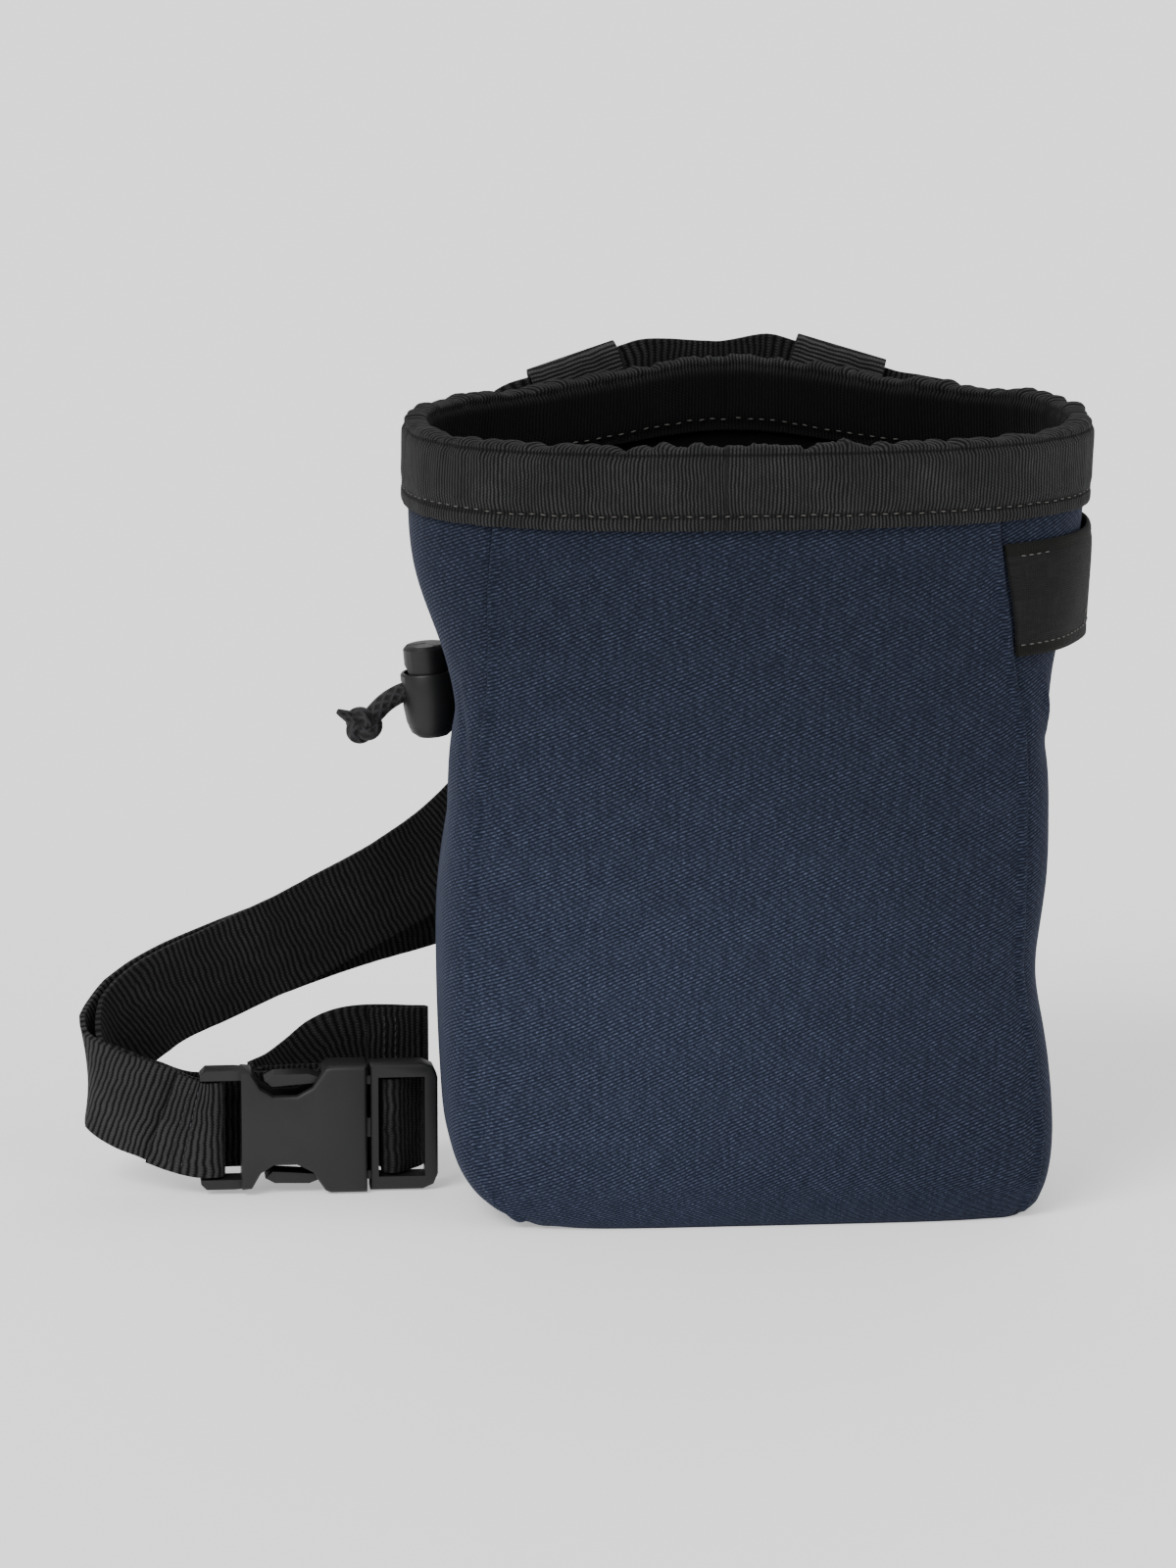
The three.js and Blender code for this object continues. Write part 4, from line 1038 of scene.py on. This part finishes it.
@dataclass
class RimBand:
    """The ribbed binding folded over the mouth, with its rolled edge and its sewn line."""

    levels: int = 3
    wave: float = 0.55 * MM
    roll: float = 1.4 * MM  # how far the rolled edge reaches below the top
    sewn_above_edge: float = 4.3 * MM
    sewn_depth: float = 0.5 * MM
    sewn_half: float = 1.3 * MM
    roll_depth: float = 0.55 * MM  # of the line under the rolled edge
    roll_half: float = 0.9 * MM
    top_wave: float = 0.85 * MM
    top_reach: float = 4 * MM  # how far below the top its waves fade

    def __post_init__(self) -> None:
        """Reads the ring of its lower edge and of its top."""
        self.shape = welded_copy("rim_band")
        quads(self.shape)
        self.shape.normal_update()
        tops = [v.co.copy() for v in self.shape.verts if v.normal.z > 0.85]
        self.top = Girth.through(self.evened(tops))
        lows = [
            v.co.copy()
            for v in self.shape.verts
            if v.normal.z < -0.4 and v.co.xy.length > self.top.radius_at(v.co) and v.co.z < 0.2
        ]
        self.low = Girth.through(self.evened(lows))

    @staticmethod
    def evened(points: Sequence[Vector], bins: int = 60) -> list[Vector]:
        """A ring of points averaged over equal angles."""
        groups: dict[int, list[Vector]] = {}
        for point in points:
            groups.setdefault(math.floor(Girth.angle_of(point) / math.tau * bins), []).append(point)
        return [sum(group, Vector()) / len(group) for group in groups.values()]

    def place_on_tape(self, point: Vector) -> tuple[float, float]:
        """A point's place on the binding: along it, and below its fold, less than nothing outside."""
        below = self.top.height_at(point) - point.z
        outside = point.xy.length > self.top.radius_at(point)
        return self.top.length_at(point), -below if outside else below

    def build(self, wardrobe: Wardrobe) -> bpy.types.Object:
        """Builds the binding."""
        fine = refined(self.shape, self.levels)
        whole = self.top.lengths[-1]
        for vert in fine.verts:
            point, normal = vert.co.copy(), vert.normal.copy()
            below = self.place_on_tape(point)[1]
            theta = Girth.angle_of(point)
            ring = Vector((math.sin(theta), math.cos(theta), 0.0))
            near_top = math.exp(-abs(below) / self.top_reach)
            wavy = noise.noise(ring * 7 + UP * 2.0)
            short = noise.noise(ring * 22 + UP * (5.0 + below * 40))
            tuck = noise.noise(ring * 45 + UP * 9.0)
            out = self.wave * (0.8 * short + 0.6 * wavy) * (0.5 + near_top)
            sewn = abs(below) - (self.low_drop(point) - self.sewn_above_edge)
            out -= self.sewn_depth * hump(sewn, self.sewn_half)
            under_roll = abs(below) - self.roll * (1.5 + 0.5 * tuck)
            out -= self.roll_depth * (1 + tuck / 2.2) * hump(under_roll, self.roll_half)
            lift = self.top_wave * near_top * (0.7 * wavy + short + 0.5 * tuck)
            vert.co = point + normal * out + UP * lift
        fine.normal_update()
        unwrapped(fine, self.place_on_tape, whole)
        piece = as_object(fine, "rim_binding", wardrobe.take(Finish.BINDING))
        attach(piece, BAG_BODY)
        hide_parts("rim_band")
        self.piece = piece
        return piece

    def low_drop(self, point: Vector) -> float:
        """How far the outer lower edge lies below the fold beside a point."""
        return self.top.height_at(point) - self.low.height_at(point)

    def stitch(self, wardrobe: Wardrobe) -> None:
        """Sews the line above the binding's lower edge, outside and inside."""
        surface = surface_of(self.piece)
        row = StitchRow("binding_stitches", Finish.PALE_THREAD, 1.6 * MM, 3.0 * MM, 0.36 * MM, 0.1 * MM)
        for outside in (True, False):
            line = []
            for angle in (2 * math.pi * i / 480 - math.pi for i in range(481)):
                ray = Vector((math.sin(angle), -math.cos(angle), 0.0))
                probe = ray * 0.05
                height = self.low.height_at(probe) + self.sewn_above_edge + 0.4 * MM * noise.noise(ray * 12)
                if not outside:
                    height += 1.5 * MM
                start = ray * 0.12 + UP * height if outside else UP * height
                hit = surface.ray_cast(start, -ray if outside else ray)[0]
                if hit is not None:
                    line.append(hit)
            row.follow(line, surface, (lambda p: p.normalized()) if outside else (lambda p: -p.normalized()))
        row.build(wardrobe)


# The belt


@dataclass
class Station:
    """One place along the belt: its middle, its upper edge's direction and its face's direction."""

    at: Vector
    edge: Vector
    face: Vector


@dataclass
class WaistBelt:
    """The webbing belt, followed along its CAD solid from the sewn end to the folded hem."""

    width: float = 25 * MM
    thick: float = 1.5 * MM
    step: float = 1.4 * MM
    columns: int = 10
    wobble: float = 0.25 * MM

    def __post_init__(self) -> None:
        """Reads the stations from the CAD solid's rings."""
        self.stations = self.read_stations()
        self.fine = self.resampled()

    def read_stations(self) -> list[Station]:
        """Walks the CAD solid ring by ring.

        Returns:
            The stations from the sewn end to the hem.
        """
        shape = welded_copy("waist_belt")
        quads(shape)
        ends = [v for v in shape.verts if len(v.link_edges) == 3]
        low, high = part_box("buckle_female")
        middle = (low + high) / 2
        start = min(ends, key=lambda v: (v.co - middle).length + 2 * abs(v.co.y - low.y))
        ring = [v for v in ends if (v.co - start.co).length < self.width * 1.2]
        ring.sort(key=lambda v: (v.co - start.co).length)
        ring = ring[:4]
        seen = set(ring)
        rings = [ring]
        while True:
            ahead = {e.other_vert(v) for v in rings[-1] for e in v.link_edges} - seen
            if not ahead:
                break
            rings.append(list(ahead))
            seen |= ahead
        shape_rings = [[v.co.copy() for v in ring] for ring in rings if len(ring) == 4]
        shape.free()
        stations: list[Station] = []
        for points in shape_rings:
            middle = sum(points, Vector()) / 4
            corner = points[0]
            points.sort(key=lambda p: (p - corner).length)
            thick = (points[1] - points[0]).normalized()
            upper = points[:2]
            edge = ((upper[0] + upper[1]) / 2 - middle).normalized()
            if stations and edge.dot(stations[-1].edge) < 0 or not stations and edge.z < 0:
                edge = -edge
            if stations and thick.dot(stations[-1].face) < 0:
                thick = -thick
            stations.append(Station(middle, edge, thick))
        return stations

    def resampled(self) -> list[Station]:
        """The stations on one smooth line, a step apart."""
        result = []
        rows = self.stations
        for i in range(len(rows) - 1):
            a, b = rows[i], rows[i + 1]
            before, after = rows[max(i - 1, 0)], rows[min(i + 2, len(rows) - 1)]
            span = (b.at - a.at).length
            lead = (b.at - before.at).normalized() * span / 3
            trail = (after.at - a.at).normalized() * span / 3
            count = max(2, round(span / self.step) + 1)
            points = interpolate_bezier(a.at, a.at + lead, b.at - trail, b.at, count)
            for k, point in enumerate(points[:-1]):
                share = k / (count - 1)
                edge, face = a.edge.slerp(b.edge, share), a.face.slerp(b.face, share)
                result.append(Station(Vector(point), edge, face))
        result.append(rows[-1])
        return result

    def length(self) -> float:
        """The belt's whole length."""
        return sum((b.at - a.at).length for a, b in zip(self.fine, self.fine[1:]))

    def build(self, wardrobe: Wardrobe) -> bpy.types.Object:
        """Builds the belt as a strip swept along its stations."""
        shape = bmesh.new()
        layer = shape.loops.layers.uv.new(CLOTH_MAP)
        lanes = [self.width * (k / self.columns - 0.5) for k in range(self.columns + 1)]
        travelled, row = 0.0, []
        last_row: list[bmesh.types.BMVert] = []
        previous: Station | None = None
        for station in self.fine:
            gap = (station.at - previous.at).length if previous else 0.0
            row = []
            for lane in lanes:
                wander = noise.noise(Vector((travelled * 45, lane * 40, 4.0)))
                ragged = 0.12 * MM * noise.noise(Vector((travelled * 700, 0.0, 9.0)))
                reach = lane + (math.copysign(ragged, lane) if abs(lane) > 0.49 * self.width else 0.0)
                out = station.face * wander * self.wobble
                row.append(shape.verts.new(station.at + station.edge * reach + out))
            if last_row:
                for k in range(self.columns):
                    face = shape.faces.new((last_row[k], row[k], row[k + 1], last_row[k + 1]))
                    ahead = travelled + gap
                    places = ((travelled, k), (ahead, k), (ahead, k + 1), (travelled, k + 1))
                    for loop, (along, lane) in zip(face.loops, places):
                        loop[layer].uv = (along, lanes[lane])
                travelled += gap
            last_row, previous = row, station
        bmesh.ops.recalc_face_normals(shape, faces=shape.faces)
        piece = as_object(shape, "waist_belt_webbing", wardrobe.take(Finish.WEBBING))
        thickened(piece, self.thick, 0.0)
        softened(piece, 0.35 * MM)
        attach(piece, BAG_BODY)
        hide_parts("waist_belt")
        self.piece = piece
        return piece

    def stitch(self, wardrobe: Wardrobe) -> None:
        """Sews the folded sewn end and the hem of the free end."""
        row = StitchRow("belt_stitches", Finish.BLACK_THREAD, 1.6 * MM, 2.1 * MM, 0.5 * MM, 0.12 * MM)
        surface = surface_of(self.piece)
        length = self.length()
        for along in (4.5 * MM, 7.0 * MM, length - 5 * MM, length - 8 * MM):
            station = self.station_at(along)
            for side in (1, -1):
                start = station.at + station.face * side * self.thick / 2
                line = [start + station.edge * self.width * (k / 12 - 0.5) * 0.86 for k in range(13)]
                row.follow(line, surface, lambda p, n=station.face * side: n)
        row.build(wardrobe)

    def station_at(self, along: float) -> Station:
        """The station at a length along the belt."""
        travelled = 0.0
        for a, b in zip(self.fine, self.fine[1:]):
            travelled += (b.at - a.at).length
            if travelled >= along:
                return b
        return self.fine[-1]


@dataclass
class BeltLoops:
    """The two webbing loops at the back of the rim that the belt goes through."""

    nodes: tuple[str, ...] = ("belt_loop_left", "belt_loop_right")
    slope_deg: float = 17.2

    def build(self, wardrobe: Wardrobe) -> None:
        """Builds both loops."""
        for node in self.nodes:
            shape = welded_copy(node)
            bmesh.ops.dissolve_limit(
                shape, angle_limit=math.radians(1), verts=shape.verts, edges=shape.edges
            )
            bmesh.ops.triangulate(shape, faces=[f for f in shape.faces if len(f.verts) > 4])
            low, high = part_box(node)
            middle = (low + high) / 2
            slope = math.radians(self.slope_deg) * (1 if middle.x > 0 else -1)
            side = Vector((math.cos(slope), 0, -math.sin(slope)))
            rise = Vector((math.sin(slope), 0, math.cos(slope)))
            unwrapped(shape, lambda p: ((p - middle).dot(rise), (p - middle).dot(side)))
            piece = as_object(shape, node + "_webbing", wardrobe.take(Finish.LOOP))
            softened(piece, 0.4 * MM)
            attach(piece, BAG_BODY)
            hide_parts(node)


@dataclass
class BrushLoop:
    """The plain-woven strip that holds a brush, with taped edges and light stitches."""

    wall: float = 1.4 * MM
    edge_row: float = 3.1 * MM
    end_row: float = 33 * MM  # of the upright row, from the front seam
    bulge: float = 0.45 * MM
    sewn_depth: float = 0.2 * MM
    sewn_half: float = 0.8 * MM

    def build(self, wardrobe: Wardrobe) -> None:
        """Builds the strip and its stitches."""
        sheet = outer_sheet("brush_loop", Vector((1, 0, 0)))
        face_outwards(sheet, lambda p: Vector((0, 0, p.z)))
        low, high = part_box("brush_loop")
        middle_height = (low.z + high.z) / 2
        fine = refined(sheet, 3)
        low_edge = [v.co.copy() for v in fine.verts if v.is_boundary and v.co.z < middle_height - 12 * MM]
        girth = Girth.through(low_edge, closed=False)
        first = girth.lengths[0]

        def place(point: Vector) -> tuple[float, float]:
            """A point's place on the strip."""
            return girth.length_at(point) - first, point.z - middle_height

        for vert in fine.verts:
            along, up = place(vert.co)
            bulge = noise.noise(Vector((along * 55, up * 45, 6.0)))
            sewn = hump(abs(up) - (high.z - low.z) / 2 + self.edge_row, self.sewn_half)
            vert.co = vert.co + vert.normal * (self.bulge * bulge - self.sewn_depth * sewn)
        fine.normal_update()
        unwrapped(fine, place)
        piece = as_object(fine, "brush_loop_strip", wardrobe.take(Finish.PACKCLOTH))
        thickened(piece, self.wall, -1.0)
        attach(piece, BAG_BODY)
        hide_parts("brush_loop")
        surface = surface_of(piece)
        row = StitchRow("brush_loop_stitches", Finish.PALE_THREAD, 1.7 * MM, 2.7 * MM, 0.4 * MM, 0.1 * MM)
        half = (high.z - low.z) / 2
        for up in (half - self.edge_row - 0.4 * MM, -half + self.edge_row + 0.4 * MM):
            line = self.line_at(girth, middle_height + up, 0.0, 1.0)
            row.follow(line, surface, lambda p: Vector((1, 0, 0)))
        for along in (self.end_row, girth.lengths[-1] - 6 * MM):
            point = self.point_at(girth, along)
            levels = [middle_height + half * (k / 10) * 0.78 for k in range(-10, 11)]
            upright = [Vector((point.x, point.y, level)) for level in levels]
            row.follow(upright, surface, lambda p: Vector((p.x, p.y, 0)).normalized())
        row.build(wardrobe)

    @staticmethod
    def point_at(girth: Girth, along: float) -> Vector:
        """The point of a way round at a length along it."""
        i = min(bisect.bisect_left(girth.lengths, along), len(girth.lengths) - 1)
        angle, radius = girth.angles[i], girth.radii[i]
        return Vector((radius * math.sin(angle), -radius * math.cos(angle), 0.0))

    def line_at(self, girth: Girth, height: float, start: float, end: float) -> list[Vector]:
        """A line along the strip at a height."""
        whole = girth.lengths[-1]
        line = []
        for k in range(61):
            point = self.point_at(girth, whole * (start + (end - start) * k / 60))
            point.z = height
            line.append(point)
        return line


# Moulded parts


@dataclass
class MouldedParts:
    """The buckle's two halves and the cord lock, their edges eased from the CAD solids."""

    buckle_edge: float = 0.35 * MM
    lock_edge: float = 0.3 * MM

    def eased(
        self,
        node: str,
        name: str,
        edge: float,
        material: bpy.types.Material,
        body: str,
        corner_deg: float = 28,
    ) -> bpy.types.Object:
        """Builds one moulded part from a welded copy of its solid.

        Args:
            node: The CAD node.
            name: The new piece's name.
            edge: How far its edges are eased.
            material: Its finish.
            body: The body that it rides on.
            corner_deg: Turns sharper than this are eased.

        Returns:
            The piece.
        """
        shape = welded_copy(node)
        bmesh.ops.dissolve_limit(shape, angle_limit=math.radians(1), verts=shape.verts, edges=shape.edges)
        bmesh.ops.recalc_face_normals(shape, faces=shape.faces)
        piece = as_object(shape, name, material)
        softened(piece, edge, 3, corner_deg).harden_normals = True
        piece.data.set_sharp_from_angle(angle=math.radians(40))
        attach(piece, body)
        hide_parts(node)
        return piece

    def build(self, wardrobe: Wardrobe) -> None:
        """Builds the buckle and the lock."""
        buckle, lock = wardrobe.take(Finish.BUCKLE), wardrobe.take(Finish.LOCK)
        self.eased("buckle_female", "buckle_socket", self.buckle_edge, buckle, BAG_BODY)
        self.eased("buckle_male", "buckle_prongs", self.buckle_edge, buckle, BAG_BODY)
        self.eased("cord_lock_barrel", "lock_cup", self.lock_edge, lock, BAG_BODY, 50)
        self.eased("cord_lock_button", "lock_plunger", self.lock_edge, lock, BUTTON_BODY, 50)


# The drawcord


def swept_tube(path: Sequence[Vector], radii: Sequence[float], sides: int = 24) -> bmesh.types.BMesh:
    """A closed round tube along a path.

    Args:
        path: The middle line's points.
        radii: The radius at each.
        sides: How many sides the tube has.

    Returns:
        The tube, with a cloth map of the way round and the way along.
    """
    shape = bmesh.new()
    layer = shape.loops.layers.uv.new(CLOTH_MAP)
    girth = 2 * math.pi * max(radii)
    heading = (path[1] - path[0]).normalized()
    side = heading.orthogonal().normalized()
    rings: list[list[bmesh.types.BMVert]] = []
    travelled = [0.0]
    for i, point in enumerate(path):
        ahead = (path[min(i + 1, len(path) - 1)] - path[max(i - 1, 0)]).normalized()
        side = (heading.rotation_difference(ahead) @ side).normalized()
        heading = ahead
        other = heading.cross(side)
        rings.append(
            [
                shape.verts.new(point + (side * math.cos(t) + other * math.sin(t)) * radii[i])
                for t in (2 * math.pi * k / sides for k in range(sides))
            ]
        )
        if i:
            travelled.append(travelled[-1] + (point - path[i - 1]).length)
    for i in range(len(rings) - 1):
        for k in range(sides):
            n = (k + 1) % sides
            face = shape.faces.new((rings[i][k], rings[i][n], rings[i + 1][n], rings[i + 1][k]))
            corners = ((k, i), (k + 1, i), (k + 1, i + 1), (k, i + 1))
            for loop, (around, along) in zip(face.loops, corners):
                loop[layer].uv = (girth * around / sides, travelled[along])
    shape.faces.new(list(reversed(rings[0])))
    shape.faces.new(rings[-1])
    bmesh.ops.recalc_face_normals(shape, faces=shape.faces)
    return shape


def smooth_path(points: Sequence[Vector], per_span: int) -> list[Vector]:
    """One smooth line through points.

    Args:
        points: What it goes through.
        per_span: How many points it has from one to the next.

    Returns:
        The line's points.
    """
    line = []
    for i in range(len(points) - 1):
        a, b = points[i], points[i + 1]
        before, after = points[max(i - 1, 0)], points[min(i + 2, len(points) - 1)]
        span = (b - a).length
        lead = (b - before).normalized() * span / 3
        trail = (after - a).normalized() * span / 3
        line += [Vector(p) for p in interpolate_bezier(a, a + lead, b - trail, b, per_span + 1)[:-1]]
    line.append(points[-1].copy())
    return line


@dataclass
class Drawcord:
    """The braided drawcord from the bag's side through the lock to its knot and tail."""

    diameter: float = 5 * MM
    route_mm: tuple[tuple[float, float, float], ...] = (
        (-69.0, 14.4, 133.1),
        (-73.2, 14.2, 132.05),
        (-76.9, 14.0, 131.55),
        (-80.9, 14.0, 131.65),
        (-84.9, 14.0, 131.85),
        (-88.5, 13.7, 130.75),
        (-91.9, 13.0, 128.75),
        (-94.3, 12.3, 126.55),
        (-97.7, 11.4, 123.35),
        (-100.3, 10.7, 125.2),
        (-104.3, 9.9, 127.4),
    )
    knot_mm: tuple[float, float, float] = (-97.7, 11.4, 123.35)
    knot_radius: float = 2.0 * MM
    knot_ring: float = 2.1 * MM
    knot_wave: float = 1.0 * MM
    per_span: int = 6  # points of the fine path from one point of the route to the next
    thin_from: int = 8 * 6  # the point of the fine path where the tail starts to thin
    thinned: float = 0.72  # of the radius, at the tail's tip

    def build(self, wardrobe: Wardrobe) -> None:
        route = [Vector(p) * MM for p in self.route_mm]
        path = smooth_path(route, self.per_span)
        radii = []
        for i in range(len(path)):
            past = max(0.0, (i - self.thin_from) / (len(path) - 1 - self.thin_from))
            radii.append(self.diameter / 2 * (1 - self.thinned * past**1.6))
        cord = as_object(swept_tube(path, radii), "drawcord_braid", wardrobe.take(Finish.CORD))
        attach(cord, BAG_BODY)
        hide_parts("drawcord")
        knot = self.knot(wardrobe)

    def knot(self, wardrobe: Wardrobe) -> bpy.types.Object:
        """Builds the pulled-tight knot as a closed threefold winding."""
        middle = Vector(self.knot_mm) * MM
        points = []
        for i in range(97):
            t = 2 * math.pi * i / 96
            reach = self.knot_ring + self.knot_wave * math.cos(3 * t)
            sway = 1.1 * self.knot_wave * math.sin(3 * t)
            points.append(middle + Vector((reach * math.cos(2 * t), sway, reach * math.sin(2 * t))))
        shape = swept_tube(points, [self.knot_radius] * len(points), 16)
        piece = as_object(shape, "drawcord_knot", wardrobe.take(Finish.CORD))
        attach(piece, BAG_BODY)
        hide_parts("cord_knot")
        return piece


# The studio


@dataclass(frozen=True)
class SoftLamp:
    """One broad lamp, far enough off to light the floor evenly."""

    name: str
    towards: tuple[float, float, float]  # from the bag to the lamp
    power: float
    spread_deg: float

    def build(self) -> None:
        """Builds the lamp."""
        data = bpy.data.lights.new(self.name, "SUN")
        data.energy = self.power
        data.angle = math.radians(self.spread_deg)
        lamp = bpy.data.objects.new(self.name, data)
        lamp.location = self.towards
        lamp.rotation_mode = "QUATERNION"
        lamp.rotation_quaternion = (-Vector(self.towards)).to_track_quat("-Z", "Y")
        bpy.context.scene.collection.objects.link(lamp)


@dataclass
class Studio:
    """Floor, lights and camera."""

    eye: tuple[float, float, float] = (-0.20326, -1.85721, 0.50556)
    azimuth_deg: float = -5.0
    elevation_deg: float = 12.0
    lens: float = 171.0
    floor_half: float = 40.0
    room_light: float = 0.68
    lamps: tuple[SoftLamp, ...] = (
        SoftLamp("key", (-1.1, -1.25, 1.6), 2.15, 30),
        SoftLamp("fill", (1.6, -1.0, 1.1), 0.65, 60),
        SoftLamp("rim_light", (0.3, 1.6, 1.5), 0.6, 40),
    )

    def build(self) -> None:
        """Builds the studio."""
        shape = bmesh.new()
        bmesh.ops.create_grid(shape, x_segments=2, y_segments=2, size=self.floor_half)
        floor = as_object(shape, "floor", PaleFloor().material())
        self.camera()
        for lamp in self.lamps:
            lamp.build()
        world = bpy.data.worlds.new("soft_room")
        world.use_nodes = True
        background = world.node_tree.nodes["Background"]
        background.inputs["Color"].default_value = (1.0, 1.0, 1.0, 1.0)
        background.inputs["Strength"].default_value = self.room_light
        bpy.context.scene.world = world

    def camera(self) -> None:
        """Builds the camera at the photograph's viewing angle."""
        azimuth, elevation = math.radians(self.azimuth_deg), math.radians(self.elevation_deg)
        back = Vector(
            (
                math.sin(azimuth) * math.cos(elevation),
                -math.cos(azimuth) * math.cos(elevation),
                math.sin(elevation),
            )
        )
        data = bpy.data.cameras.new("camera")
        data.lens = self.lens
        data.sensor_width = 36.0
        data.clip_start, data.clip_end = 0.05, 60.0
        camera = bpy.data.objects.new("camera", data)
        camera.rotation_mode = "QUATERNION"
        camera.location = self.eye
        camera.rotation_quaternion = (-back).to_track_quat("-Z", "Y")
        bpy.context.scene.collection.objects.link(camera)
        bpy.context.scene.camera = camera


def main() -> None:
    """Builds the studio and every piece in order."""
    logging.basicConfig(level=logging.INFO, format="%(name)s: %(message)s")
    wardrobe = Wardrobe()
    Studio().build()
    LOG.info("studio built")
    MouldedParts().build(wardrobe)
    LOG.info("buckle and cord lock built")
    Drawcord().build(wardrobe)
    LOG.info("drawcord built")
    body = ClothBody()
    body.build(wardrobe)
    body.stitch(wardrobe)
    LOG.info("cloth body built")
    rim = RimBand()
    rim.build(wardrobe)
    rim.stitch(wardrobe)
    LOG.info("rim binding built")
    BrushLoop().build(wardrobe)
    LOG.info("brush loop built")
    BeltLoops().build(wardrobe)
    LOG.info("belt loops built")
    belt = WaistBelt()
    belt.build(wardrobe)
    belt.stitch(wardrobe)
    LOG.info("waist belt built, %.0f mm long", belt.length() / MM)


if __name__ == "__main__":
    main()
